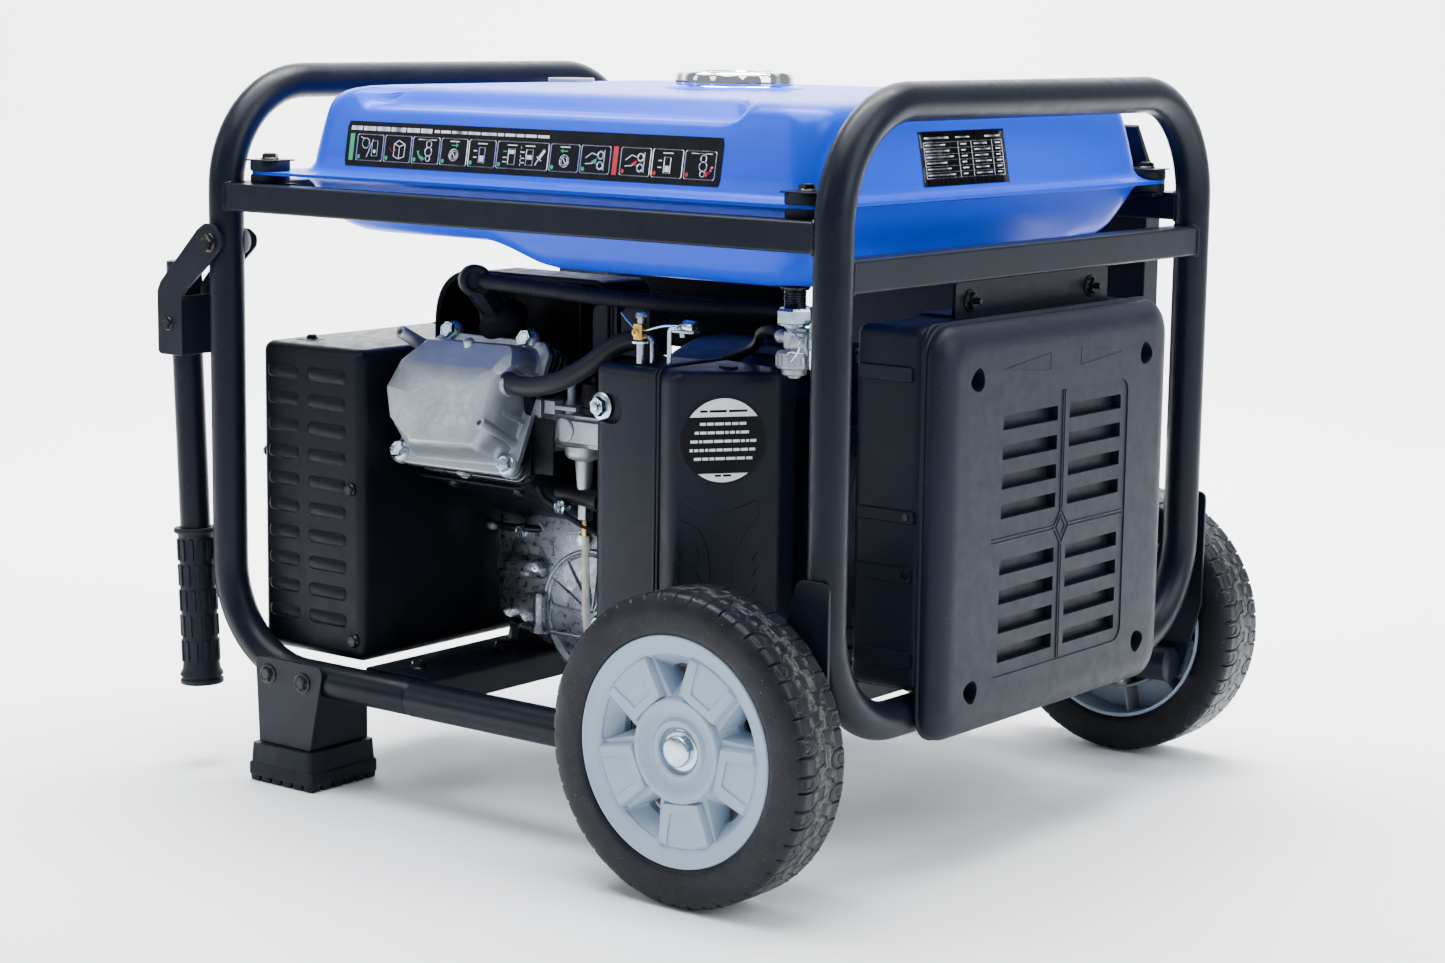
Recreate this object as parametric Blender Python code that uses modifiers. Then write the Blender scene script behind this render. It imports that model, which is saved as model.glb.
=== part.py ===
"""Portable open-frame inverter generator, modelled as an assembly of separate parts.

Frame: +X along the machine towards the vented end cover, +Z up, -Y the engine side.
The origin is on the floor under the middle of the machine.  Lengths are written in
millimetres and turned into metres by MM.
"""
import math

import bmesh
import bpy
from mathutils import Matrix, Vector

MM = 0.001

# Tube frame
TUBE_R = 15.0
POST_LEFT_X = -304.0
POST_RIGHT_X = 334.0
POST_Y = 265.5
HOOP_TOP_Z = 597.0
HOOP_BEND_R = 92.0
LOWER_RAIL_Z = 94.5
LOWER_BEND_R = 90.0
RIGHT_HOOP_LOW_Z = 128.0
RIGHT_LOW_BEND_R = 85.0
SLIP_JOINT_X = -84.0
RAIL_HALF = 11.7
RAIL_Z = 500.0
RIGHT_RAIL_Z = 471.3
TOUCH_GAP = 0.3
SADDLE_R = 15.9
CROSS_TOP_Z = 109.0

# Wheels
WHEEL_X = 254.0
WHEEL_Z = 120.0
WHEEL_R = 120.0
WHEEL_INNER_Y = 288.0
WHEEL_WIDTH = 60.0
RIM_R = 88.0
AXLE_R = 8.0

# Fold-down handles
PIVOT_Z = 461.0
HANDLE_TOP = (-358.6, 440.0)
HANDLE_LOW = (-343.0, 72.0)
HANDLE_R = 13.2

# Tank
TANK_SEAM_Z = 522.0
TANK_TOP_Z = 595.0
CAP_XY = (38.0, 0.0)
NECK_R = 34.0
MOUNT_X = (-268.0, 297.0)
MOUNT_Y = 248.0
SHEET = 1.2

# Engine: crank axis along X, cylinder leaning towards -Y
CRANK_Y = -10.0
CRANK_Z = 250.0
ENGINE_X = -80.0
CYLINDER_LEAN = math.radians(65.0)
DRUM_R = 138.0

# Vented end cover
COVER_BACK_X = 349.8
COVER_Z = 269.0
SLOT_ROWS = (350.8, 327.6, 304.4, 281.2, 236.8, 213.6, 190.4, 167.2)
SLOT_COLUMNS = ((-88.0, -8.0), (10.0, 90.0))
SLOT_HEIGHT = 11.6

TAP_XY = (245.0, -190.0)
TAP_LEVER_Z = 420.0
PANEL_FACE_Y = 306.0
SWITCH_XZ = (240.0, 455.0)
BREAKER_XZ = (190.0, 330.0)
CHOKE_XY = (118.0, -205.0)

PAINTS = {
    "frame_black": ((0.012, 0.013, 0.016), 0.38, 0.0),
    "tank_blue": ((0.01, 0.09, 0.62), 0.25, 0.0),
    "rubber": ((0.012, 0.012, 0.013), 0.75, 0.0),
    "plastic_black": ((0.015, 0.016, 0.019), 0.5, 0.0),
    "hub_grey": ((0.35, 0.4, 0.46), 0.45, 0.0),
    "zinc": ((0.62, 0.66, 0.7), 0.28, 1.0),
    "cast_alloy": ((0.5, 0.51, 0.53), 0.5, 0.85),
    "chrome": ((0.8, 0.8, 0.82), 0.08, 1.0),
    "clear": ((0.7, 0.72, 0.7), 0.1, 0.0),
    "red_plastic": ((0.5, 0.02, 0.02), 0.4, 0.0),
}


# ---------------------------------------------------------------- helpers
def clear_objects():
    for obj in list(bpy.data.objects):
        bpy.data.objects.remove(obj, do_unlink=True)


def new_collection(name):
    coll = bpy.data.collections.new(name)
    bpy.context.scene.collection.children.link(coll)
    return coll


def paint(name):
    if name in bpy.data.materials:
        return bpy.data.materials[name]
    colour, rough, metal = PAINTS[name]
    mat = bpy.data.materials.new(name)
    mat.use_nodes = True
    shader = mat.node_tree.nodes["Principled BSDF"]
    shader.inputs["Base Color"].default_value = (*colour, 1.0)
    shader.inputs["Roughness"].default_value = rough
    shader.inputs["Metallic"].default_value = metal
    mat.diffuse_color = (*colour, 1.0)
    return mat


def place(name, mesh, mat, coll=None):
    obj = bpy.data.objects.new(name, mesh)
    (coll or PARTS).objects.link(obj)
    mesh.materials.clear()
    mesh.materials.append(paint(mat))
    return obj


def mesh_from(bm, name):
    bmesh.ops.recalc_face_normals(bm, faces=bm.faces)
    mesh = bpy.data.meshes.new(name)
    bm.to_mesh(mesh)
    bm.free()
    return mesh


def box_mesh(name, low, high):
    bm = bmesh.new()
    bmesh.ops.create_cube(bm, size=1.0)
    size = [(b - a) * MM for a, b in zip(low, high)]
    bmesh.ops.scale(bm, vec=size, verts=bm.verts)
    return mesh_from(bm, name)


def box(name, low, high, mat, bevel=0.0, coll=None):
    obj = place(name, box_mesh(name, low, high), mat, coll)
    obj.location = [(a + b) / 2 * MM for a, b in zip(low, high)]
    if bevel:
        add_bevel(obj, bevel)
    return obj


def add_bevel(obj, width, segments=2, angle=40.0):
    mod = obj.modifiers.new("edges", "BEVEL")
    mod.width = width * MM
    mod.segments = segments
    mod.limit_method = "ANGLE"
    mod.angle_limit = math.radians(angle)


def point_axis(obj, axis):
    obj.rotation_mode = "QUATERNION"
    obj.rotation_quaternion = Vector((0, 0, 1)).rotation_difference(Vector(axis))


def rod(name, start, end, radius, mat, sides=16, coll=None):
    start, end = Vector(start) * MM, Vector(end) * MM
    bm = bmesh.new()
    bmesh.ops.create_cone(bm, cap_ends=True, segments=sides, radius1=radius * MM,
                          radius2=radius * MM, depth=(end - start).length)
    obj = place(name, mesh_from(bm, name), mat, coll)
    obj.location = (start + end) / 2
    point_axis(obj, end - start)
    return obj


def turned(name, profile, at, axis, mat, steps=24, ring=False):
    """Turn (radius, height) points; the outer side runs from top to bottom."""
    mesh = bpy.data.meshes.new(name)
    verts = [(r * MM, 0.0, h * MM) for r, h in profile]
    edges = [(i, i + 1) for i in range(len(verts) - 1)]
    if ring:
        edges.append((len(verts) - 1, 0))
    mesh.from_pydata(verts, edges, [])
    obj = place(name, mesh, mat)
    screw = obj.modifiers.new("turn", "SCREW")
    screw.axis = "Z"
    screw.steps = screw.render_steps = steps
    screw.use_merge_vertices = True
    screw.merge_threshold = 0.00001
    obj.location = [v * MM for v in at]
    point_axis(obj, axis)
    return obj


def curve_to_mesh(curve_obj):
    bpy.context.view_layer.update()
    graph = bpy.context.evaluated_depsgraph_get()
    mesh = bpy.data.meshes.new_from_object(curve_obj.evaluated_get(graph))
    mesh.name = curve_obj.name
    bm = bmesh.new()
    bm.from_mesh(mesh)
    bmesh.ops.remove_doubles(bm, verts=bm.verts, dist=0.00001)
    bmesh.ops.recalc_face_normals(bm, faces=bm.faces)
    bm.to_mesh(mesh)
    bm.free()
    name, matrix = curve_obj.name, curve_obj.matrix_world.copy()
    mat, coll = curve_obj.data.materials[0].name, curve_obj.users_collection[0]
    bpy.data.objects.remove(curve_obj, do_unlink=True)
    obj = place(name, mesh, mat, coll)
    obj.matrix_world = matrix
    return obj


def bent_pipe(name, points, radius, mat, cyclic=False, resolution=4):
    data = bpy.data.curves.new(name, "CURVE")
    data.dimensions = "3D"
    data.bevel_depth = radius * MM
    data.bevel_resolution = resolution
    data.use_fill_caps = not cyclic
    spline = data.splines.new("POLY")
    spline.points.add(len(points) - 1)
    for node, p in zip(spline.points, points):
        node.co = (*(Vector(p) * MM), 1.0)
    spline.use_cyclic_u = cyclic
    return curve_to_mesh(place(name, data, mat))


def plate(name, outline, holes, thickness, plane, at, mat, coll=None):
    """A flat outline, thickened about its own plane: 'XZ', 'YZ' or 'XY'."""
    data = bpy.data.curves.new(name, "CURVE")
    data.dimensions = "2D"
    data.fill_mode = "BOTH"
    data.extrude = thickness / 2 * MM
    for loop in [outline] + holes:
        spline = data.splines.new("POLY")
        spline.points.add(len(loop) - 1)
        for node, (u, v) in zip(spline.points, loop):
            node.co = (u * MM, v * MM, 0.0, 1.0)
        spline.use_cyclic_u = True
    obj = place(name, data, mat, coll)
    turns = {"XY": Matrix.Identity(3),
             "XZ": Matrix(((1, 0, 0), (0, 0, -1), (0, 1, 0))),
             "YZ": Matrix(((0, 0, 1), (1, 0, 0), (0, 1, 0)))}
    obj.matrix_world = Matrix.Translation(Vector(at) * MM) @ turns[plane].to_4x4()
    return curve_to_mesh(obj)


def loft(name, loops, mat, close_start=False, close_end=True):
    """Skin matching loops of points, for a pressed shell or a cast cover."""
    bm = bmesh.new()
    rows = [[bm.verts.new([c * MM for c in p]) for p in loop] for loop in loops]
    count = len(rows[0])
    for low, high in zip(rows, rows[1:]):
        for i in range(count):
            j = (i + 1) % count
            bm.faces.new((low[i], low[j], high[j], high[i]))
    if close_end:
        bm.faces.new(rows[-1])
    if close_start:
        bm.faces.new(list(reversed(rows[0])))
    mesh = bpy.data.meshes.new(name)
    bm.to_mesh(mesh)
    bm.free()
    return place(name, mesh, mat)


def rounded_rect(x0, x1, y0, y1, z, radius, steps=4):
    points = []
    corners = ((x1 - radius, y1 - radius, 0), (x0 + radius, y1 - radius, 90),
               (x0 + radius, y0 + radius, 180), (x1 - radius, y0 + radius, 270))
    for cx, cy, start in corners:
        for k in range(steps + 1):
            a = math.radians(start + 90 * k / steps)
            points.append((cx + radius * math.cos(a), cy + radius * math.sin(a), z))
    return points


def circle(cx, cy, radius, sides=12):
    return [(cx + radius * math.cos(2 * math.pi * k / sides),
             cy + radius * math.sin(2 * math.pi * k / sides)) for k in range(sides)]


def bend_path(corners, radii, steps=6, cyclic=False):
    """Points along straight runs joined by arcs, one radius for each corner."""
    pts = [Vector(c) for c in corners]
    count = len(pts)
    path = [] if cyclic else [pts[0]]
    inner = range(count) if cyclic else range(1, count - 1)
    for i in inner:
        here, before, after = pts[i], pts[i - 1], pts[(i + 1) % count]
        u, v = (before - here).normalized(), (after - here).normalized()
        centre = here + (u + v) * radii[i]
        for k in range(steps + 1):
            a = math.radians(90 * k / steps)
            path.append(centre - v * radii[i] * math.cos(a) - u * radii[i] * math.sin(a))
    if not cyclic:
        path.append(pts[-1])
    return path


def boolean(obj, tool, operation):
    mod = obj.modifiers.new(operation.lower(), "BOOLEAN")
    mod.operation = operation
    mod.solver = "EXACT"
    mod.object = tool
    tool.hide_render = True
    tool.display_type = "WIRE"
    for coll in list(tool.users_collection):
        coll.objects.unlink(tool)
    CUTTERS.objects.link(tool)


def carve(obj, *tools):
    for tool in tools:
        boolean(obj, tool, "DIFFERENCE")


def fuse(obj, *tools):
    for tool in tools:
        boolean(obj, tool, "UNION")


def solidify(obj, thickness):
    mod = obj.modifiers.new("sheet", "SOLIDIFY")
    mod.thickness = thickness * MM
    mod.offset = -1.0
    mod.use_even_offset = True


def cylinder_frame(x, up, along):
    """A point given across, up and along the leaning cylinder."""
    s, c = math.sin(CYLINDER_LEAN), math.cos(CYLINDER_LEAN)
    return (x, CRANK_Y + up * c - along * s, CRANK_Z + up * s + along * c)


def lean(obj, x, along):
    obj.location = [v * MM for v in cylinder_frame(x, 0.0, along)]
    obj.rotation_euler = (CYLINDER_LEAN, 0.0, 0.0)
    return obj


def side_name(sign):
    return "front" if sign < 0 else "back"


# ---------------------------------------------------------------- frame
def build_hoops():
    x, y = POST_LEFT_X, POST_Y
    corners = [(SLIP_JOINT_X, -y, LOWER_RAIL_Z), (x, -y, LOWER_RAIL_Z), (x, -y, HOOP_TOP_Z),
               (x, y, HOOP_TOP_Z), (x, y, LOWER_RAIL_Z), (SLIP_JOINT_X, y, LOWER_RAIL_Z)]
    radii = [0, LOWER_BEND_R, HOOP_BEND_R, HOOP_BEND_R, LOWER_BEND_R, 0]
    left = bent_pipe("frame_hoop_left", bend_path(corners, radii), TUBE_R, "frame_black")
    for sign in (-1, 1):
        hole = rod("pivot_hole", (x, sign * y - 20, PIVOT_Z), (x, sign * y + 20, PIVOT_Z),
                   4.6, "frame_black", 10)
        carve(left, hole)
    x = POST_RIGHT_X
    corners = [(x, -y, RIGHT_HOOP_LOW_Z), (x, -y, HOOP_TOP_Z), (x, y, HOOP_TOP_Z),
               (x, y, RIGHT_HOOP_LOW_Z)]
    radii = [RIGHT_LOW_BEND_R, HOOP_BEND_R, HOOP_BEND_R, RIGHT_LOW_BEND_R]
    bent_pipe("frame_hoop_right", bend_path(corners, radii, cyclic=True), TUBE_R,
              "frame_black", cyclic=True)


def build_lower_rail(sign):
    y = sign * POST_Y
    rail = rod("lower_rail_" + side_name(sign), (SLIP_JOINT_X + TOUCH_GAP, y, LOWER_RAIL_Z),
               (330, y, LOWER_RAIL_Z), TUBE_R, "frame_black", 16)
    outline = [(200, 79), (330, 79), (349, 150), (349, 250), (320, 250), (292, 152), (200, 120)]
    axle_hole = circle(WHEEL_X, WHEEL_Z, AXLE_R + 0.4)
    bracket = plate("wheel_plate", outline, [axle_hole], 3.2, "XZ", (0, sign * 282.6, 0),
                    "frame_black")
    lug = box("wheel_lug", (205, min(sign * 268, sign * 282), 84),
              (320, max(sign * 268, sign * 282), 105), "frame_black")
    fuse(rail, lug, bracket)


def build_long_rail(sign):
    y = sign * POST_Y
    rail = box("upper_rail_" + side_name(sign), (POST_LEFT_X, y - RAIL_HALF, RAIL_Z - RAIL_HALF),
               (POST_RIGHT_X, y + RAIL_HALF, RAIL_Z + RAIL_HALF), "frame_black")
    for x in MOUNT_X:
        inner, outer = sorted((sign * 240.0, sign * 256.0))
        fuse(rail, box("mount_tab", (x - 15, inner, 508.5), (x + 15, outer, 511.6),
                       "frame_black"))
    for x in (POST_LEFT_X, POST_RIGHT_X):
        carve(rail, rod("saddle", (x, y, 460), (x, y, 540), SADDLE_R, "frame_black", 24))


def build_end_rail(name, x, z, half_height):
    reach = POST_Y - RAIL_HALF - TOUCH_GAP
    rail = box(name, (x - RAIL_HALF, -reach, z - half_height),
               (x + RAIL_HALF, reach, z + half_height), "frame_black")
    for sign in (-1, 1):
        y = sign * POST_Y
        carve(rail, rod("saddle", (x, y, z - 40), (x, y, z + 40), SADDLE_R, "frame_black", 24))


def build_cross_member(name, x0, x1):
    top, low, wall = CROSS_TOP_Z, 84.0, 3.0
    outline = [(x0, low), (x0, top), (x1, top), (x1, low), (x1 - wall, low),
               (x1 - wall, top - wall), (x0 + wall, top - wall), (x0 + wall, low)]
    plate(name, outline, [], 2 * (POST_Y - TUBE_R - TOUCH_GAP), "XZ", (0, 0, 0), "frame_black")


def build_foot(sign):
    y_out, y_in = sign * 283.3, sign * 214.0
    low, high = min(y_out, y_in), max(y_out, y_in)
    tray = box("foot_bracket_" + side_name(sign), (-252, low, 34), (-190, high, 79.0),
               "frame_black")
    carve(tray, box("foot_hollow", (-249.5, low + 2.5, 36.5), (-192.5, high - 2.5, 90),
                    "frame_black"))
    face = plate("foot_face", [(-252, 50), (-190, 50), (-174, 104), (-179, 110), (-251, 110),
                               (-256, 104)], [], 2.5, "XZ", (0, sign * 282.05, 0), "frame_black")
    fuse(tray, face)
    outline = [(-260, 15), (-260, 5)]
    for k in range(5):
        x = -260 + k * 16
        outline += [(x, 0), (x + 9, 0), (x + 11, 5), (x + 14, 5)]
    outline += [(-183, 15), (-186, 15), (-186, 33.5), (-257, 33.5), (-257, 15)]
    plate("rubber_foot_" + side_name(sign), outline, [], 80.0, "XZ", (0, sign * 249.0, 0),
          "rubber")


# ---------------------------------------------------------------- wheels
def window_cutter(index):
    angle = math.radians(90 + 72 * index)
    corners = ((43, 0), (70, 13.5), (70, -13.5))
    bm = bmesh.new()
    rows = []
    for h in (35, 62):
        rows.append([bm.verts.new(((r * math.cos(angle) - t * math.sin(angle)) * MM,
                                   (r * math.sin(angle) + t * math.cos(angle)) * MM, h * MM))
                     for r, t in corners])
    for i in range(3):
        j = (i + 1) % 3
        bm.faces.new((rows[0][i], rows[0][j], rows[1][j], rows[1][i]))
    bm.faces.new(rows[1])
    bm.faces.new(list(reversed(rows[0])))
    return place("window", mesh_from(bm, "window"), "hub_grey")


def build_wheel(sign):
    side, at, axis = side_name(sign), (WHEEL_X, sign * WHEEL_INNER_Y, WHEEL_Z), (0, sign, 0)
    w, r = WHEEL_WIDTH, WHEEL_R
    tyre = [(RIM_R + 0.4, w - 2), (104, w), (115, w - 2), (r, w - 11), (r, 11), (115, 2),
            (104, 0), (RIM_R + 0.4, 2)]
    turned("tyre_" + side, tyre, at, axis, "rubber", 32, ring=True)
    hub = [(RIM_R, w - 2), (RIM_R, 3), (84, 3), (84, 43), (25, 43), (25, 3), (AXLE_R + 0.5, 3),
           (AXLE_R + 0.5, 46), (29, 46), (36, 53), (73, 53), (79, w - 2)]
    body = turned("wheel_hub_" + side, hub, at, axis, "hub_grey", 32, ring=True)
    for k in range(5):
        tool = window_cutter(k)
        tool.location = body.location
        tool.rotation_mode = "QUATERNION"
        tool.rotation_quaternion = body.rotation_quaternion
        carve(body, tool)
    bolt = [(0, 55), (12, 55), (13, 53.5), (13, 47), (AXLE_R, 47), (AXLE_R, -11), (0, -11)]
    turned("axle_bolt_" + side, bolt, at, axis, "zinc", 16)


# ---------------------------------------------------------------- handles
def build_handle(sign):
    side, y = side_name(sign), sign * POST_Y
    shared = [(-370, 361), (-339, 361), (-339, 414), (-296, 450), (-290, 458), (-291, 468)]
    outer = shared + [(-298, 475), (-308, 477), (-317, 473), (-368, 420), (-370, 412)]
    inner = shared + [(-298, 472), (-306, 471), (-312, 468), (-363, 415), (-370, 405)]
    hole = circle(POST_LEFT_X, PIVOT_Z, 4.6)
    arms = [plate(name, outline, [hole], 3.0, "XZ", (0, y + offset, 0), "frame_black")
            for name, offset, outline in (("handle_bracket_" + side, sign * 19.5, outer),
                                          ("inner_arm", -sign * 19.5, inner))]
    web = box("web", (-341.6, y - 20.5, 361.5), (-339.2, y + 20.5, 414), "frame_black")
    fuse(arms[0], web, arms[1])
    top, low = Vector((HANDLE_TOP[0], y, HANDLE_TOP[1])), Vector((HANDLE_LOW[0], y, HANDLE_LOW[1]))
    axis, length = (top - low).normalized(), (top - low).length
    r = HANDLE_R
    turned("handle_tube_" + side, [(0, length + 2), (14.4, length + 2), (15.4, length),
                                   (15.4, length - 20), (r, length - 20), (r, 0), (0, 0)],
           low, axis, "frame_black", 16)
    grip = [(0, -0.4), (r + 0.3, -0.4), (r + 0.3, 135), (19, 135), (19, 131), (16.5, 130),
            (16.5, 6), (19, 5), (19, -3), (0, -3)]
    turned("handle_grip_" + side, grip, low, axis, "rubber", 16)
    bolt = [(0, 27), (7.5, 27), (7.5, 21.3), (4, 21.3), (4, 17.7), (11.5, 17.7), (11.5, 15.4),
            (4, 15.4), (4, -15.4), (11.5, -15.4), (11.5, -17.7), (4, -17.7), (4, -21.3),
            (7.5, -21.3), (7.5, -27), (0, -27)]
    turned("pivot_bolt_" + side, bolt, (POST_LEFT_X, y, PIVOT_Z), (0, -1, 0), "frame_black", 12)


# ---------------------------------------------------------------- tank
def flange_holes(obj):
    for x in MOUNT_X:
        for sign in (-1, 1):
            carve(obj, rod("flange_hole", (x, sign * MOUNT_Y, 515), (x, sign * MOUNT_Y, 526),
                           6.4, "tank_blue", 10))


def build_tank():
    z, top = TANK_SEAM_Z, TANK_TOP_Z
    upper = loft("tank_upper", [rounded_rect(-284, 314, -262, 262, z, 16),
                                rounded_rect(-241, 299, -239, 239, z, 30),
                                rounded_rect(-238, 297, -237, 237, z + 5, 30),
                                rounded_rect(-224, 286, -222, 222, top - 13, 34),
                                rounded_rect(-218, 280, -216, 216, top - 4, 32),
                                rounded_rect(-206, 268, -204, 204, top, 26)], "tank_blue")
    solidify(upper, SHEET)
    cx, cy = CAP_XY
    fuse(upper, rod("neck", (cx, cy, top - 6), (cx, cy, 604), NECK_R, "tank_blue", 20))
    carve(upper, rod("neck_bore", (cx, cy, top - 20), (cx, cy, 620), NECK_R - 4, "tank_blue", 20))
    flange_holes(upper)
    z = TANK_SEAM_Z - 2.8
    loops = [rounded_rect(-284, 314, -262, 262, z, 16), rounded_rect(-241, 299, -239, 239, z, 30),
             rounded_rect(-236, 296, -235, 235, z - 6, 30),
             rounded_rect(-228, 289, -226, 226, 484, 30),
             rounded_rect(-219, 281, -217, 217, 475, 28),
             rounded_rect(-208, 276, -209, 208, 473, 24),
             rounded_rect(-48, 272, -206, 150, 473, 24),
             rounded_rect(-18, 268, -203, 146, 461, 26),
             rounded_rect(4, 262, -198, 140, 456, 26), rounded_rect(18, 256, -190, 132, 455, 24)]
    lower = loft("tank_lower", [list(reversed(loop)) for loop in loops], "tank_blue")
    solidify(lower, SHEET)
    flange_holes(lower)
    cap = [(0, 611.5), (40, 611.5), (49, 608.8), (53, 604), (53, 596.6), (51.5, 595.4),
           (NECK_R + 2, 595.4), (NECK_R + 2, 606), (0, 606)]
    turned("fuel_cap", cap, (cx, cy, 0), (0, 0, 1), "chrome", 24)
    turned("fuel_gauge", [(0, 599.5), (17, 599.5), (21, 598), (21, 595.4), (0, 595.4)],
           (-188, 50, 0), (0, 0, 1), "clear", 16)
    spool = [(0, 541), (6.5, 541), (6.5, 533), (17, 532.4), (17, 530.8), (14, 530.8), (14, 522.5),
             (5, 522.5), (5, 518.8), (16.5, 518.8), (16.5, 512.1), (0, 512.1)]
    for x, end in zip(MOUNT_X, ("left", "right")):
        for sign in (-1, 1):
            turned("tank_mount_%s_%s" % (side_name(sign), end), spool,
                   (x, sign * MOUNT_Y, 0), (0, 0, 1), "rubber", 12)


def build_fuel_tap():
    x, y = TAP_XY
    body = [(0, 454.3), (8, 454.3), (8, 447), (13.5, 446), (13.5, 434), (8, 432), (7, 412),
            (16, 409), (16, 398), (12, 396), (12, 390), (6, 389), (6, 384), (0, 384)]
    turned("fuel_tap", body, (x, y, 0), (0, 0, 1), "zinc", 16)
    z = TAP_LEVER_Z
    outline = [(y - 9, z), (y - 6, z + 7), (y, z + 9), (y + 6, z + 7), (y + 9, z), (y + 4.5, z - 8),
               (y + 4, z - 27), (y - 4, z - 27), (y - 4.5, z - 8)]
    lever = plate("fuel_tap_lever", outline, [], 3.0, "YZ", (x + 18.5, 0, 0), "zinc")
    fuse(lever, rod("lever_spindle", (x + 8.2, y, z), (x + 19.5, y, z), 4.5, "zinc", 10))


# ---------------------------------------------------------------- engine
def build_engine():
    block = box("engine_block", (-150, -105, 128), (-8, 88, 318), "cast_alloy", 9)
    barrel = lean(place("barrel", box_mesh("barrel", (0, 0, 0), (114, 114, 110)), "cast_alloy"),
                  ENGINE_X, 105.0)
    fuse(block, barrel)
    carve(block, rod("crank_bore", (-170, CRANK_Y, CRANK_Z), (10, CRANK_Y, CRANK_Z), 24.0,
                     "cast_alloy", 20))
    head = lean(place("cylinder_head", box_mesh("cylinder_head", (0, 0, 0), (120, 118, 44.2)),
                      "cast_alloy"), ENGINE_X, 182.5)
    add_bevel(head, 6)
    rings = [(128, 118, 0, 16), (128, 118, 7, 16), (106, 96, 8, 18), (100, 90, 30, 18),
             (88, 78, 42, 20), (76, 66, 45, 18)]
    cover = loft("rocker_cover", [rounded_rect(-w / 2, w / 2, -h / 2, h / 2, z, r, 2)
                                  for w, h, z, r in rings], "cast_alloy", close_start=True)
    lean(cover, ENGINE_X, 205.0)
    for name, y in (("engine_mount_front", -75.0), ("engine_mount_back", 60.0)):
        turned(name, [(0, 127.7), (20, 127.7), (24, 124), (26, 112), (24, 109.3), (0, 109.3)],
               (-117, y, 0), (0, 0, 1), "rubber", 16)


def build_shroud():
    def arch(inset):
        left, right, top, r = -150 + inset, 40 - inset, 442 - inset, 58 - inset
        arc = [(left + r - r * math.cos(a), top - r + r * math.sin(a))
               for a in (math.radians(15 * k) for k in range(7))]
        return [(left, 346)] + arc + [(right, top), (right, 346)]
    outline = arch(0) + list(reversed(arch(2.5)))
    plate("cylinder_shroud", outline, [], 56.0, "XZ", (0, -140, 0), "frame_black")


def build_hoses():
    boot = rod("spark_cap", (ENGINE_X, -163, 403), (ENGINE_X, -196, 438), 9.5,
               "rubber", 12)
    fuse(boot, rod("elbow", (ENGINE_X - 11, -197, 438), (ENGINE_X + 13, -197, 438), 11.5,
                   "rubber", 14))
    lead = [(-66.6, -197, 438), (-40, -195, 437), (-5, -190, 435), (35, -182, 432),
            (75, -172, 430), (115, -158, 428), (150, -142, 427), (178, -125, 427)]
    bent_pipe("ignition_lead", smooth(lead, 4), 5.5, "rubber", resolution=2)
    hose = [(-26.4, -217, 361), (-12, -221, 358), (12, -225, 360), (38, -224, 367),
            (60, -217, 380), (78, -209, 395), (92, -203, 403), (103, -199, 401),
            (108, -198, 394), (108, -198, 386.6)]
    bent_pipe("breather_hose", smooth(hose, 3), 8.0, "rubber", resolution=2)


def smooth(points, steps):
    """Catmull-Rom points through a route."""
    pts = [Vector(p) for p in points]
    padded = [pts[0] * 2 - pts[1]] + pts + [pts[-1] * 2 - pts[-2]]
    path = []
    for a, b, c, d in zip(padded, padded[1:], padded[2:], padded[3:]):
        for k in range(steps):
            t = k / steps
            path.append(0.5 * (2 * b + (c - a) * t + (2 * a - 5 * b + 4 * c - d) * t * t
                               + (3 * b - a - 3 * c + d) * t ** 3))
    path.append(pts[-1])
    return path


def build_intake():
    carb = box("carburettor", (-8, -196, 306), (76, -158, 344), "cast_alloy", 5)
    fuse(carb, rod("bowl", (36, -177, 285), (36, -177, 312), 18, "cast_alloy", 14),
         rod("slide_top", (36, -181, 340), (36, -181, 364), 11, "cast_alloy", 12))
    base = box("air_box_base", (80, -234, 152), (149.6, -152, 386), "plastic_black", 7)
    carve(base, box("filter_room", (92, -222, 170), (160, -164, 372), "plastic_black"),
          rod("throat", (70, -177, 325), (100, -177, 325), 12, "plastic_black", 12))
    plan = [(150, -238), (172, -246), (222, -175), (222, -152), (150, -152)]
    cover = plate("air_box_cover", plan, [], 236.0, "XY", (0, 0, 270), "plastic_black")
    add_bevel(cover, 5, 2, 30)
    x, y = CHOKE_XY
    lever = box("choke_lever", (x - 7, y - 20, 418), (x + 55, y - 12, 421), "zinc")
    fuse(lever, rod("choke_post", (x, y - 16, 387), (x, y - 16, 422), 3.5, "zinc", 10))


def build_exhaust():
    muffler = box("muffler", (-266, -234, 136), (-186, -56, 352), "frame_black", 22)
    fuse(muffler, rod("exhaust_stub", (-194, -140, 318), (-141, -140, 318), 17, "frame_black", 14))
    carve(muffler, box("muffler_room", (-263, -231, 139), (-189, -59, 349), "frame_black", 19),
          rod("exhaust_bore", (-210, -140, 318), (-135, -140, 318), 13, "frame_black", 14))
    guard = box("muffler_guard", (-281, -249.8, 110), (-160, -40, 377), "frame_black", 10)
    carve(guard, box("guard_room", (-279.2, -248, 111.8), (-161.8, -20, 375.2), "frame_black", 8),
          rod("stub_hole", (-175, -140, 318), (-150, -140, 318), 21, "frame_black", 14))


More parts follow.
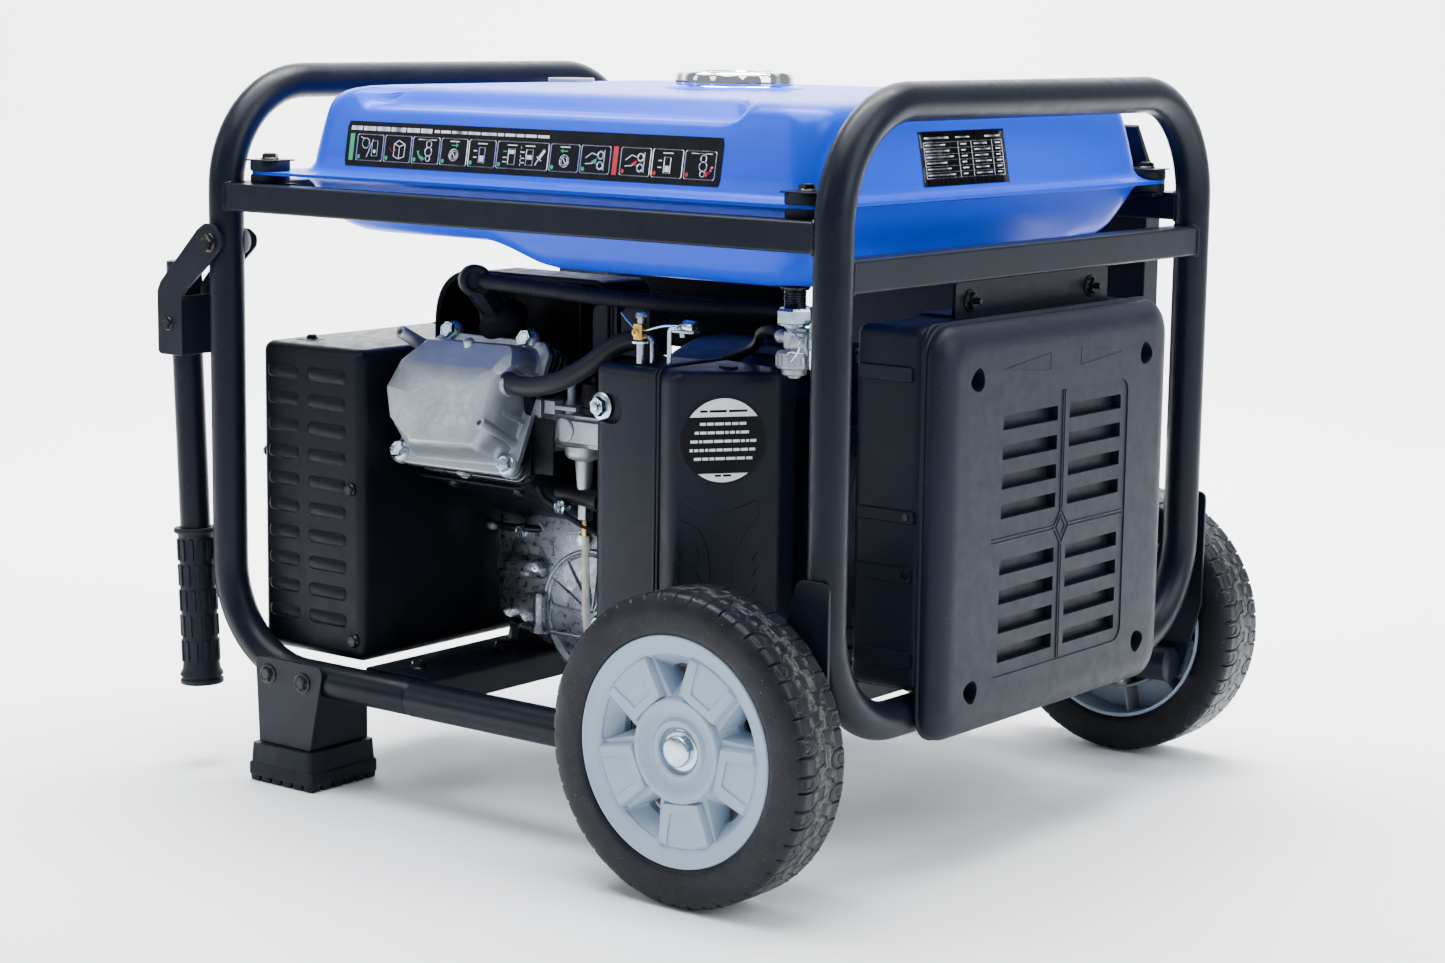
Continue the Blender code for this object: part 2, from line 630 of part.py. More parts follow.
def build_alternator():
    r, at = DRUM_R, (0, CRANK_Y, CRANK_Z)
    shell = [(r, 283), (r, 4), (27, 4), (27, 8), (r - 4, 8), (r - 4, 283)]
    drum = turned("alternator_housing", shell, at, (1, 0, 0), "plastic_black", 32, ring=True)
    fuse(drum, box("alternator_foot", (115, -60, 109.4), (170, 45, 121), "plastic_black"))
    rotor = [(0, 276), (14, 276), (14, 208), (84, 204), (84, 104), (16, 100), (16, 66),
             (118, 58), (118, 40), (22, 30), (22, -149), (0, -149)]
    turned("crank_rotor", rotor, at, (1, 0, 0), "zinc", 24)


def build_inverter_end():
    housing = box("inverter_housing", (284, -166, 147), (349.4, 166, 428), "plastic_black")
    add_bevel(housing, 12)
    room = box("inverter_room", (287, -163, 150), (360, 163, 425), "plastic_black", 9)
    port = rod("air_port", (280, CRANK_Y, CRANK_Z), (290, CRANK_Y, CRANK_Z), 96, "plastic_black",
               28)
    carve(housing, room, port)
    fuse(housing, box("hanger", (322, -90, 422), (325.5, 140, 456), "frame_black"))
    half_y, half_z = 172.0, 161.0
    steps = ((0.0, 0.0, 34), (7.0, 0.0, 34), (14.0, 3.0, 33), (19.0, 9.0, 30), (21.6, 17.0, 26),
             (22.2, 25.0, 22))
    loops = [rounded_rect(-half_z + i, half_z - i, -half_y + i, half_y - i, h, r)
             for h, i, r in steps]
    cover = loft("vent_cover", loops, "plastic_black")
    cover.location = (COVER_BACK_X * MM, 0, COVER_Z * MM)
    cover.rotation_euler = (0, math.pi / 2, 0)
    solidify(cover, 2.6)
    for y0, y1 in SLOT_COLUMNS:
        for z in SLOT_ROWS:
            carve(cover, box("slot", (360, y0, z - SLOT_HEIGHT / 2), (380, y1, z + SLOT_HEIGHT / 2),
                             "plastic_black"))
    for y in (-125, 126):
        for z in (146, 386):
            carve(cover, rod("screw_hole", (340, y, z), (380, y, z), 7.5, "plastic_black", 10))


# ---------------------------------------------------------------- control panel
def build_panel():
    y = PANEL_FACE_Y
    profile = [(281, 290), (y, 290), (y, 508), (263, 569), (259.5, 566), (281, 532)]
    panel = plate("control_panel", profile, [], 350.0, "YZ", (105, 0, 0), "plastic_black")
    sx, sz = SWITCH_XZ
    carve(panel, box("switch_pocket", (sx - 12, y - 12, sz - 17), (sx + 12, y + 5, sz + 17),
                     "plastic_black"))
    bx, bz = BREAKER_XZ
    carve(panel, rod("breaker_bore", (bx, y - 14, bz), (bx, y + 5, bz), 7.0, "plastic_black", 12))
    for x in (0.0, 80.0):
        fuse(panel, rod("socket", (x, y - 3, 360), (x, y + 9, 360), 27, "plastic_black", 20))
    box("engine_switch", (sx - 10.5, y - 7, sz - 14), (sx + 10.5, y + 4, sz + 14), "red_plastic", 2)
    rod("breaker_button", (bx, y - 9, bz), (bx, y + 6, bz), 6.4, "red_plastic", 12)


clear_objects()
PARTS = new_collection("portable_generator")
CUTTERS = new_collection("cutters")
build_hoops()
for side_sign in (-1, 1):
    build_lower_rail(side_sign)
    build_long_rail(side_sign)
    build_foot(side_sign)
    build_wheel(side_sign)
    build_handle(side_sign)
build_end_rail("upper_rail_left", POST_LEFT_X, RAIL_Z, RAIL_HALF)
build_end_rail("upper_rail_right", POST_RIGHT_X, RIGHT_RAIL_Z, 12.5)
build_cross_member("cross_member_left", -155.0, -80.0)
build_cross_member("cross_member_right", 105.0, 180.0)
build_tank()
build_fuel_tap()
build_engine()
build_shroud()
build_hoses()
build_intake()
build_exhaust()
build_alternator()
build_inverter_end()
build_panel()
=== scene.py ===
import math
import random

import bmesh
import bpy
import numpy as np
from mathutils import Matrix, Vector


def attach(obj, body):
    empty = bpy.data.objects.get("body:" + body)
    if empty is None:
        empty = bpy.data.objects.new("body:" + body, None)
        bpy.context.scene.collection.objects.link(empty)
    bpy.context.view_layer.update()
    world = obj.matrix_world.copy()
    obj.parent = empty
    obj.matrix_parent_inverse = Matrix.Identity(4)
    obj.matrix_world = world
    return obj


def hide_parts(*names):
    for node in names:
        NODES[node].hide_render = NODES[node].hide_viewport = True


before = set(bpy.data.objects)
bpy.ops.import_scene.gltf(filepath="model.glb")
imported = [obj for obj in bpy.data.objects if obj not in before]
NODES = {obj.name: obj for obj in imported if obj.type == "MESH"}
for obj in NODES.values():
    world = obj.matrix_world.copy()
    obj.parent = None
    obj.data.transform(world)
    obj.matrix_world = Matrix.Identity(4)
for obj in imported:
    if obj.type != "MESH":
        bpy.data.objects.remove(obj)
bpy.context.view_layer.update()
MM = 0.001
PI = math.pi
CREASE = 38.0  # degrees over which an edge is drawn sharp
CAMERA_AZIMUTH = math.radians(37.68)
TUBE_R = 15.0  # round frame tube
SQUARE = 11.7  # half of a square rail
SIDE_Z, RAIL_Z, END_Z = 94.5, 500.0, 471.3  # middle heights of the rails
WHEEL_X, WHEEL_Y, WHEEL_Z = 254, 288.0, 120  # axle, and the inner face of the wheels
CAP_X = 38
DRUM = (4, -10, 250)  # left end of the alternator's axis
random.seed(7)


# ------------------------------------------------------------------ materials
def shade(colour, k):
    return tuple(min(1.0, c * k) for c in colour)


class Graph:
    """A small wrapper that builds one procedural material."""

    def __init__(self, name):
        self.mat = bpy.data.materials.new(name)
        self.mat.use_nodes = True
        self.tree = self.mat.node_tree
        self.bsdf = self.tree.nodes["Principled BSDF"]
        self.coord = self.add("ShaderNodeTexCoord").outputs["Object"]

    def add(self, kind, **values):
        node = self.tree.nodes.new(kind)
        for key, value in values.items():
            setattr(node, key, value)
        return node

    def link(self, a, b):
        self.tree.links.new(a, b)

    def noise(self, scale, detail=3.0, rough=0.5):
        node = self.add("ShaderNodeTexNoise")
        node.inputs["Scale"].default_value = scale
        node.inputs["Detail"].default_value = detail
        node.inputs["Roughness"].default_value = rough
        self.link(self.coord, node.inputs["Vector"])
        return node.outputs["Fac"]

    def voronoi(self, scale, feature="F1"):
        node = self.add("ShaderNodeTexVoronoi", feature=feature)
        node.inputs["Scale"].default_value = scale
        self.link(self.coord, node.inputs["Vector"])
        return node.outputs["Distance"]

    def ramp(self, fac, low, high, to_low=0.0, to_high=1.0):
        node = self.add("ShaderNodeMapRange", interpolation_type="SMOOTHSTEP")
        node.inputs["From Min"].default_value = low
        node.inputs["From Max"].default_value = high
        node.inputs["To Min"].default_value = to_low
        node.inputs["To Max"].default_value = to_high
        self.link(fac, node.inputs["Value"])
        return node.outputs["Result"]

    def mix(self, fac, a, b):
        node = self.add("ShaderNodeMix", data_type="RGBA")
        for socket, value in ((node.inputs[6], a), (node.inputs[7], b)):
            if isinstance(value, tuple):
                socket.default_value = (*value, 1.0)
            else:
                self.link(value, socket)
        self.link(fac, node.inputs[0])
        return node.outputs[2]

    def math(self, op, a, b):
        node = self.add("ShaderNodeMath", operation=op)
        for socket, value in zip(node.inputs, (a, b)):
            if isinstance(value, (int, float)):
                socket.default_value = value
            else:
                self.link(value, socket)
        return node.outputs[0]

    def bumps(self, layers):
        normal = None
        for height, distance in layers:
            node = self.add("ShaderNodeBump")
            node.inputs["Strength"].default_value = 1.0
            node.inputs["Distance"].default_value = distance * MM
            self.link(height, node.inputs["Height"])
            if normal:
                self.link(normal, node.inputs["Normal"])
            normal = node.outputs[0]
        if normal:
            self.link(normal, self.bsdf.inputs["Normal"])


def material(name, colour, rough, metal=0.0, tint=0.12, tone=14.0, grain=(), span=0.08, dust=0.0,
        spec=0.5, smudge=0.0):
    """Colour drift, roughness drift, fine grain bumps, smudges and dust specks."""
    g = Graph(name)
    b = g.bsdf
    col = g.mix(g.ramp(g.noise(tone, 4.0), 0.3, 0.7), shade(colour, 1 - tint),
        shade(colour, 1 + tint))
    if smudge:
        cloud = g.ramp(g.noise(tone * 2.3, 6.0, 0.65), 0.5, 0.8, 0.0, smudge)
        col = g.mix(cloud, col, shade(colour, 2.2))
    if dust:
        speck = g.ramp(g.noise(820.0, 2.0), 0.745, 0.775, 0.0, dust)
        col = g.mix(speck, col, (0.32, 0.33, 0.35))
    g.link(col, b.inputs["Base Color"])
    fine = g.ramp(g.noise(tone * 6.0, 5.0, 0.6), 0.3, 0.7, max(0.02, rough - span), rough + span)
    g.link(fine, b.inputs["Roughness"])
    b.inputs["Metallic"].default_value = metal
    b.inputs["Coat Roughness"].default_value = 0.1
    b.inputs["Specular IOR Level"].default_value = spec
    layers = []
    for kind, scale, distance in grain:
        if kind == "cell":
            layers.append((g.voronoi(scale), distance))
        else:
            layers.append((g.noise(scale, 3.0, 0.6), distance))
    g.bumps(layers)
    g.mat.diffuse_color = (*colour, 1.0)
    return g.mat


POWDER = (("noise", 900.0, 0.018), ("noise", 160.0, 0.04))
LEATHER = (("cell", 1500.0, 0.03), ("noise", 500.0, 0.03))
CAST = (("noise", 1700.0, 0.02), ("noise", 520.0, 0.014), ("noise", 70.0, 0.06))
M = {"frame": material("frame_powder_coat", (0.0036, 0.0056, 0.0118), 0.36, tint=0.15,
    grain=POWDER, dust=0.35, span=0.06, spec=0.17, smudge=0.12),
    "sheet": material("black_sheet_paint", (0.0022, 0.0034, 0.0076), 0.4, grain=POWDER, dust=0.3,
    spec=0.14, smudge=0.12), "dark": material("dark_plastic", (0.004, 0.0046, 0.0068), 0.45,
    grain=POWDER, dust=0.3, spec=0.16), "cover": material("textured_cover", (0.0044, 0.007, 0.015),
    0.47, grain=LEATHER, tint=0.08, dust=0.3, span=0.05, spec=0.17),
    "airbox": material("moulded_airbox", (0.0046, 0.0072, 0.015), 0.42, dust=0.3, spec=0.2,
    grain=(("noise", 1600.0, 0.012), ("noise", 120.0, 0.05)), span=0.05),
    "boltblack": material("black_zinc", (0.012, 0.012, 0.014), 0.26, 0.6, tint=0.3,
    grain=(("noise", 500.0, 0.02),)), "rubber": material("moulded_rubber", (0.004, 0.006, 0.012),
    0.6, dust=0.4, smudge=0.15, spec=0.2, grain=(("noise", 700.0, 0.06), ("noise", 2200.0, 0.02))),
    "hose": material("hose_rubber", (0.0085, 0.0105, 0.0155), 0.5, dust=0.3, smudge=0.15,
    spec=0.25, grain=(("noise", 1500.0, 0.03), ("noise", 260.0, 0.05))),
    "zinc": material("bright_zinc", (0.5, 0.62, 0.7), 0.2, 1.0, tint=0.14, tone=90.0,
    grain=(("noise", 900.0, 0.015), ("noise", 200.0, 0.02)), span=0.1),
    "alloy": material("sand_cast_alloy", (0.33, 0.36, 0.41), 0.33, 0.95, tint=0.1, tone=30.0,
    grain=CAST, span=0.12), "diecast": material("die_cast_alloy", (0.36, 0.39, 0.43), 0.46, 0.8,
    tint=0.1, tone=40.0, grain=CAST, span=0.1), "chrome": material("chrome_plate",
    (0.82, 0.83, 0.86), 0.05, 1.0, tint=0.03, grain=(("noise", 30.0, 0.05),), span=0.02),
    "steel": material("dull_steel", (0.2, 0.2, 0.205), 0.42, 0.9, tint=0.2, tone=30.0, dust=0.4,
    grain=(("noise", 700.0, 0.03), ("noise", 90.0, 0.06)), span=0.14),
    "brass": material("brass", (0.68, 0.42, 0.12), 0.3, 1.0, tint=0.15, tone=80.0,
    grain=(("noise", 600.0, 0.02),)), "hub": material("hub_plastic", (0.29, 0.375, 0.475), 0.5,
    tint=0.05, tone=20.0, dust=0.2, grain=(("noise", 1400.0, 0.02), ("noise", 60.0, 0.12)),
    # the darker hub plastic defined next is painted shade for the ribs inside the hub
    span=0.06), "hub_painted_shade": material("hub_plastic_painted_shade", (0.15, 0.175, 0.2), 0.5, tint=0.1,
    dust=0.3, grain=(("noise", 1400.0, 0.02),)), "nylon": material("nylon_washer",
    (0.55, 0.58, 0.6), 0.4, grain=(("noise", 600.0, 0.02),)), "film": material("label_film",
    (0.003, 0.0036, 0.006), 0.38, tint=0.1, spec=0.12, grain=(("noise", 300.0, 0.01),))}
for key, colour, rough, tint in (("white", (0.75, 0.77, 0.8), 0.4, 0.04),
        ("grey", (0.25, 0.26, 0.28), 0.4, 0.05), ("green", (0.01, 0.36, 0.16), 0.4, 0.05),
        ("red", (0.5, 0.012, 0.02), 0.35, 0.05)):
    M[key] = material("label_" + key, colour, rough, tint=tint, grain=(("noise", 900.0, 0.005),))


def tank_paint():
    g = Graph("tank_blue_paint")
    b = g.bsdf
    base = (0.001, 0.06, 0.7)
    drift = g.ramp(g.noise(5.0, 3.0), 0.3, 0.7)
    col = g.mix(drift, shade(base, 0.94), shade(base, 1.06))
    flake = g.ramp(g.voronoi(2600.0), 0.05, 0.3, 1.0, 0.0)
    col = g.mix(g.math("MULTIPLY", flake, 0.3), col, (0.02, 0.15, 0.9))
    g.link(col, b.inputs["Base Color"])
    g.link(g.ramp(g.noise(60.0, 4.0), 0.3, 0.7, 0.3, 0.38), b.inputs["Roughness"])
    b.inputs["Metallic"].default_value = 0.1
    b.inputs["Specular IOR Level"].default_value = 0.15
    b.inputs["Coat Weight"].default_value = 0.1
    b.inputs["Coat Roughness"].default_value = 0.16
    g.bumps([(g.noise(330.0, 3.0), 0.01), (g.noise(7.0, 2.0), 0.15)])
    return g.mat


def tyre_rubber():
    g = Graph("tyre_rubber")
    b = g.bsdf
    base = (0.0042, 0.005, 0.0078)
    col = g.mix(g.ramp(g.noise(40.0, 5.0), 0.35, 0.7), base, shade(base, 1.7))
    worn = g.add("ShaderNodeAttribute", attribute_name="worn")
    patch = g.math("MULTIPLY", worn.outputs["Fac"], g.ramp(g.noise(300.0, 6.0, 0.75), 0.4, 0.62))
    col = g.mix(patch, col, (0.075, 0.074, 0.07))
    speck = g.ramp(g.noise(900.0, 2.0), 0.72, 0.75, 0.0, 0.7)
    col = g.mix(speck, col, (0.25, 0.25, 0.25))
    g.link(col, b.inputs["Base Color"])
    g.link(g.ramp(g.noise(120.0, 4.0), 0.3, 0.7, 0.34, 0.5), b.inputs["Roughness"])
    b.inputs["Specular IOR Level"].default_value = 0.2
    g.bumps([(g.noise(1500.0, 3.0), 0.02), (g.noise(220.0, 3.0), 0.03)])
    return g.mat


def clear_tube():
    g = Graph("clear_tube")
    b = g.bsdf
    g.link(g.mix(g.ramp(g.noise(60.0), 0.3, 0.7), (0.62, 0.6, 0.52), (0.75, 0.74, 0.7)),
        b.inputs["Base Color"])
    g.link(g.ramp(g.noise(120.0), 0.3, 0.7, 0.08, 0.2), b.inputs["Roughness"])
    b.inputs["Alpha"].default_value = 0.55
    g.bumps([(g.noise(300.0), 0.02)])
    return g.mat


M["tank"] = tank_paint()
M["tyre"] = tyre_rubber()
M["clear"] = clear_tube()


# ------------------------------------------------------------------ mesh tools
def put(name, bm, mat, body="chassis", nodes=(), bevel=0.0, seg=2, sharp=CREASE):
    """Makes a finished piece from a bmesh in millimetres and rides it on its body."""
    bmesh.ops.remove_doubles(bm, verts=bm.verts, dist=0.0005)
    bmesh.ops.recalc_face_normals(bm, faces=bm.faces)
    mesh = bpy.data.meshes.new(name)
    bm.to_mesh(mesh)
    bm.free()
    mesh.transform(Matrix.Scale(MM, 4))
    mesh.shade_smooth()
    mesh.set_sharp_from_angle(angle=math.radians(sharp))
    obj = bpy.data.objects.new(name, mesh)
    bpy.context.scene.collection.objects.link(obj)
    mesh.materials.append(M[mat])
    if bevel:
        mod = obj.modifiers.new("edges", "BEVEL")
        mod.width = bevel * MM
        mod.segments = seg
        mod.limit_method = "ANGLE"
        mod.angle_limit = math.radians(32)
        mod.harden_normals = True
    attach(obj, body)
    if nodes:
        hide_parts(*nodes)
    return obj


def join(*parts):
    whole = bmesh.new()
    for part in parts:
        mesh = bpy.data.meshes.new("tmp")
        part.to_mesh(mesh)
        part.free()
        whole.from_mesh(mesh)
        bpy.data.meshes.remove(mesh)
    return whole


def moved(bm, matrix):
    bmesh.ops.transform(bm, matrix=matrix, verts=bm.verts)
    return bm


def aim(bm, at, axis, spin=0.0):
    """Turns local +Z to an axis and moves the origin to a point."""
    turn = Vector((0, 0, 1)).rotation_difference(Vector(axis)).to_matrix().to_4x4()
    return moved(bm, Matrix.Translation(Vector(at)) @ turn @ Matrix.Rotation(spin, 4, "Z"))


def block(lo, hi):
    bm = bmesh.new()
    size = [b - a for a, b in zip(lo, hi)]
    centre = [(a + b) / 2 for a, b in zip(lo, hi)]
    bmesh.ops.create_cube(bm, size=1.0, matrix=Matrix.Translation(centre)
        @ Matrix.Diagonal((*size, 1.0)))
    return bm


def lathe(profile, seg=64, closed=False, wave=None):
    bm = bmesh.new()
    rows = []
    for k, (r, h) in enumerate(profile):
        if r < 1e-06:
            rows.append([bm.verts.new((0, 0, h))])
            continue
        row = []
        for i in range(seg):
            a = 2 * PI * i / seg
            rr = r * (wave(k, a) if wave else 1.0)
            row.append(bm.verts.new((rr * math.cos(a), rr * math.sin(a), h)))
        rows.append(row)
    pairs = list(zip(rows, rows[1:])) + ([(rows[-1], rows[0])] if closed else [])
    for one, two in pairs:
        for i in range(seg):
            j = (i + 1) % seg
            if len(one) == 1 and len(two) == 1:
                break
            if len(one) == 1:
                bm.faces.new((one[0], two[i], two[j]))
            elif len(two) == 1:
                bm.faces.new((one[i], one[j], two[0]))
            else:
                bm.faces.new((one[i], one[j], two[j], two[i]))
    return bm


def loft(loops, cap_start=True, cap_end=True, ring=True):
    bm = bmesh.new()
    rows = [[bm.verts.new(p) for p in loop] for loop in loops]
    n = len(rows[0])
    for a, b in zip(rows, rows[1:]):
        for i in range(n if ring else n - 1):
            j = (i + 1) % n
            bm.faces.new((a[i], a[j], b[j], b[i]))
    if cap_start:
        bm.faces.new(rows[0])
    if cap_end:
        bm.faces.new(rows[-1])
    return bm


PLANES = {"XY": lambda u, v, t: (u, v, t), "XZ": lambda u, v, t: (u, t, v), "YZ": lambda u, v,
    t: (t, u, v)}


def prism(outline, lo, hi, plane="XZ"):
    turn = PLANES[plane]
    return loft([[turn(u, v, t) for u, v in outline] for t in (lo, hi)])


def rr(x0, x1, y0, y1, r, n=6):
    pts = []
    for cx, cy, start in ((x1 - r, y1 - r, 0), (x0 + r, y1 - r, 90), (x0 + r, y0 + r, 180),
            (x1 - r, y0 + r, 270)):
        for k in range(n + 1):
            a = math.radians(start + 90 * k / n)
            pts.append((cx + r * math.cos(a), cy + r * math.sin(a)))
    return pts


def rounded(points, radius, n=6):
    """Rounds the corners of a 2-D outline; radius may be a list."""
    out = []
    count = len(points)
    for i, p in enumerate(points):
        r = radius[i] if isinstance(radius, (list, tuple)) else radius
        here = Vector(p)
        a = Vector(points[i - 1]) - here
        b = Vector(points[(i + 1) % count]) - here
        if r < 0.01:
            out.append(tuple(here))
            continue
        cut = min(r / math.tan(max(0.05, a.angle(b) / 2)), a.length * 0.49, b.length * 0.49)
        p0, p2 = here + a.normalized() * cut, here + b.normalized() * cut
        for k in range(n + 1):
            t = k / n
            out.append(tuple(p0 * (1 - t) ** 2 + here * 2 * t * (1 - t) + p2 * t * t))
    return out


def disc(cx, cy, r, n=24):
    return [(cx + r * math.cos(2 * PI * k / n), cy + r * math.sin(2 * PI * k / n))
        for k in range(n)]


def sweep(points, radius, seg=24, closed=False):
    """A tube along points, with a frame carried along so that it doesn't twist."""
    pts = [Vector(p) for p in points]
    count = len(pts)
    tangents = []
    for i in range(count):
        a = pts[i - 1] if i or closed else pts[i]
        b = pts[(i + 1) % count] if i < count - 1 or closed else pts[i]
        tangents.append((b - a).normalized())
    side = tangents[0].orthogonal().normalized()
    loops = []
    for i, (p, t) in enumerate(zip(pts, tangents)):
        side = (side - t * side.dot(t)).normalized()
        up = t.cross(side)
        r = radius(i / max(1, count - 1)) if callable(radius) else radius
        loops.append([p + side * (r * math.cos(a)) + up * (r * math.sin(a))
            for a in (2 * PI * k / seg for k in range(seg))])
    if closed:
        loops.append(loops[0])
        return loft(loops, False, False)
    return loft(loops)


def bend_path(corners, radii, steps=14, cyclic=False):
    pts = [Vector(c) for c in corners]
    n = len(pts)
    path = [] if cyclic else [pts[0]]
    for i in range(n) if cyclic else range(1, n - 1):
        here = pts[i]
        u, v = (pts[i - 1] - here).normalized(), (pts[(i + 1) % n] - here).normalized()
        centre = here + (u + v) * radii[i]
        for k in range(steps + 1):
            a = PI / 2 * k / steps
            path.append(centre - v * radii[i] * math.cos(a) - u * radii[i] * math.sin(a))
    if not cyclic:
        path.append(pts[-1])
    return path


def smooth_path(points, steps=8):
    pts = [Vector(p) for p in points]
    padded = [pts[0] * 2 - pts[1]] + pts + [pts[-1] * 2 - pts[-2]]
    path = []
    for a, b, c, d in zip(padded, padded[1:], padded[2:], padded[3:]):
        for k in range(steps):
            t = k / steps
            path.append(0.5 * (2 * b + (c - a) * t + (2 * a - 5 * b + 4 * c - d) * t * t
                + (3 * b - a - 3 * c + d) * t ** 3))
    return path + [pts[-1]]


def cut(obj, *cutters):
    """Boolean that is applied at once; the cutters are bmeshes in millimetres."""
    for bm in cutters:
        bmesh.ops.recalc_face_normals(bm, faces=bm.faces)
        mesh = bpy.data.meshes.new("cutter")
        bm.to_mesh(mesh)
        bm.free()
        mesh.transform(Matrix.Scale(MM, 4))
        tool = bpy.data.objects.new("cutter", mesh)
        bpy.context.scene.collection.objects.link(tool)
        mod = obj.modifiers.new("cut", "BOOLEAN")
        mod.operation, mod.solver, mod.object = "DIFFERENCE", "EXACT", tool
        if obj.modifiers[0] != mod:
            obj.modifiers.move(len(obj.modifiers) - 1, 0)
        bpy.context.view_layer.update()
        others = [m for m in obj.modifiers if m != mod]
        for m in others:
            m.show_viewport = False
        graph = bpy.context.evaluated_depsgraph_get()
        baked = bpy.data.meshes.new_from_object(obj.evaluated_get(graph))
        for m in others:
            m.show_viewport = True
        obj.modifiers.remove(mod)
        obj.data = baked
        bpy.data.objects.remove(tool)
    obj.data.shade_smooth()
    obj.data.set_sharp_from_angle(angle=math.radians(CREASE))
    return obj


def hexagon(across):
    return disc(0, 0, across / math.sqrt(3), 6)


def bolt(name, at, axis, size=8.0, mat="zinc", body="chassis", flange=True, washer=False,
        length=6.0):
    """Hex head bolt with a chamfered head, a flange or washers, seen from its head."""
    w = size * 1.6
    spin = random.uniform(0, PI / 3)
    head = loft([[(x * k, y * k, z) for x, y in hexagon(w)] for k, z in ((1.0, 0.0),
        (1.0, size * 0.45), (0.9, size * 0.6))])
    dish = lathe([(0, size * 0.56), (w * 0.3, size * 0.57), (w * 0.36, size * 0.66),
        (w * 0.41, size * 0.66), (w * 0.44, size * 0.5)], 24)
    parts = [head, dish]
    base = 0.0
    if flange:
        parts.append(lathe([(w * 0.62, -0.4), (w * 0.66, 0.2), (w * 0.62, 1.0), (w * 0.5, 1.9),
            (w * 0.4, 1.9)], 32))
    if washer:
        parts.append(lathe([(w * 0.35, -0.9), (w * 0.8, -0.9), (w * 0.8, 0.7), (w * 0.72, 0.9),
            (w * 0.35, 0.9)], 32))
        base = 0.9
    parts.append(lathe([(size / 2, base), (size / 2, -length), (0, -length)], 16))
    return put(name, aim(join(*parts), at, axis, spin), mat, body, sharp=30)


def nut(name, at, axis, size=8.0, mat="zinc", body="chassis", stud=4.0):
    w = size * 1.65
    ring = loft([[(x * k, y * k, z) for x, y in hexagon(w)] for k, z in ((0.94, 0.0), (1.0, 0.6),
        (1.0, size * 0.6), (0.92, size * 0.75))])
    rim = lathe([(w * 0.8, -0.2), (w * 0.8, 0.6), (w * 0.6, 1.6), (w * 0.3, 1.6)], 32)
    rod = lathe([(0, size * 0.75 + stud), (size * 0.42, size * 0.75 + stud - 0.6),
        (size * 0.46, size * 0.7 + stud - 1), (size * 0.46, 0)], 16)
    return put(name, aim(join(ring, rim, rod), at, axis, random.uniform(0, 1)), mat, body,
        sharp=30)


def dress(nodes, mat):
    for n in nodes:
        mesh = NODES[n].data
        mesh.materials.clear()
        mesh.materials.append(M[mat])
        mesh.shade_smooth()
        mesh.set_sharp_from_angle(angle=math.radians(CREASE))


# ------------------------------------------------------------------ stage, lights, camera
def area(name, at, target, size, power, colour=(1, 1, 1), size_y=None):
    data = bpy.data.lights.new(name, "AREA")
    data.energy, data.color, data.size = power, colour, size
    if size_y:
        data.shape, data.size_y = "RECTANGLE", size_y
    obj = bpy.data.objects.new(name, data)
    bpy.context.scene.collection.objects.link(obj)
    obj.location = at
    obj.rotation_mode = "QUATERNION"
    obj.rotation_quaternion = (Vector(target) - Vector(at)).to_track_quat("-Z", "Y")
    return obj


def build_stage():
    # floor that rises as a wall far behind the object
    profile = [(-14, 0.0), (2.6, 0.0)] + [(2.6 + 1.4 * math.sin(t), 1.4 - 1.4 * math.cos(t))
        for t in (PI / 2 * k / 14 for k in range(1, 15))] + [(4.0, 5.0)]
    azimuth = CAMERA_AZIMUTH
    out, side = (Vector((-math.sin(azimuth), math.cos(azimuth))),
        Vector((math.cos(azimuth), math.sin(azimuth))))
    bm = bmesh.new()
    rows = [[bm.verts.new((out.x * d + side.x * w, out.y * d + side.y * w, z)) for w in (-14, 14)]
        for d, z in profile]
    for a, b in zip(rows, rows[1:]):
        bm.faces.new((a[0], a[1], b[1], b[0]))
    bmesh.ops.recalc_face_normals(bm, faces=bm.faces)
    mesh = bpy.data.meshes.new("floor")
    bm.to_mesh(mesh)
    bm.free()
    mesh.shade_smooth()
    floor = bpy.data.objects.new("floor", mesh)
    floor.location = (0, 0, -0.0005)
    bpy.context.scene.collection.objects.link(floor)
    mesh.materials.append(material("floor_pale", (0.92, 0.925, 0.935), 0.7, tint=0.01, tone=3.0,
        grain=(("noise", 80.0, 0.02),), spec=0.15))
    world = bpy.data.worlds.new("studio")
    bpy.context.scene.world = world
    world.use_nodes = True
    back = world.node_tree.nodes["Background"]
    back.inputs["Color"].default_value = (0.86, 0.93, 1.0, 1.0)
    back.inputs["Strength"].default_value = 0.42
    area("key_right", (3.0, 0.3, 2.0), (0.2, 0, 0.3), 2.0, 95, (0.96, 0.98, 1.0), 2.6)
    area("top_soft", (-0.1, -0.2, 3.2), (0, 0, 0.3), 3.2, 235, (0.97, 0.985, 1.0), 3.0)
    area("front_left", (-2.4, -3.0, 2.2), (0, -0.2, 0.35), 1.4, 30, (0.95, 0.975, 1.0), 2.0)
    area("wall_wash", (-0.5, 0.9, 3.2), (-2.6, 3.3, 0.7), 2.6, 620, (0.98, 0.99, 1.0), 2.6)


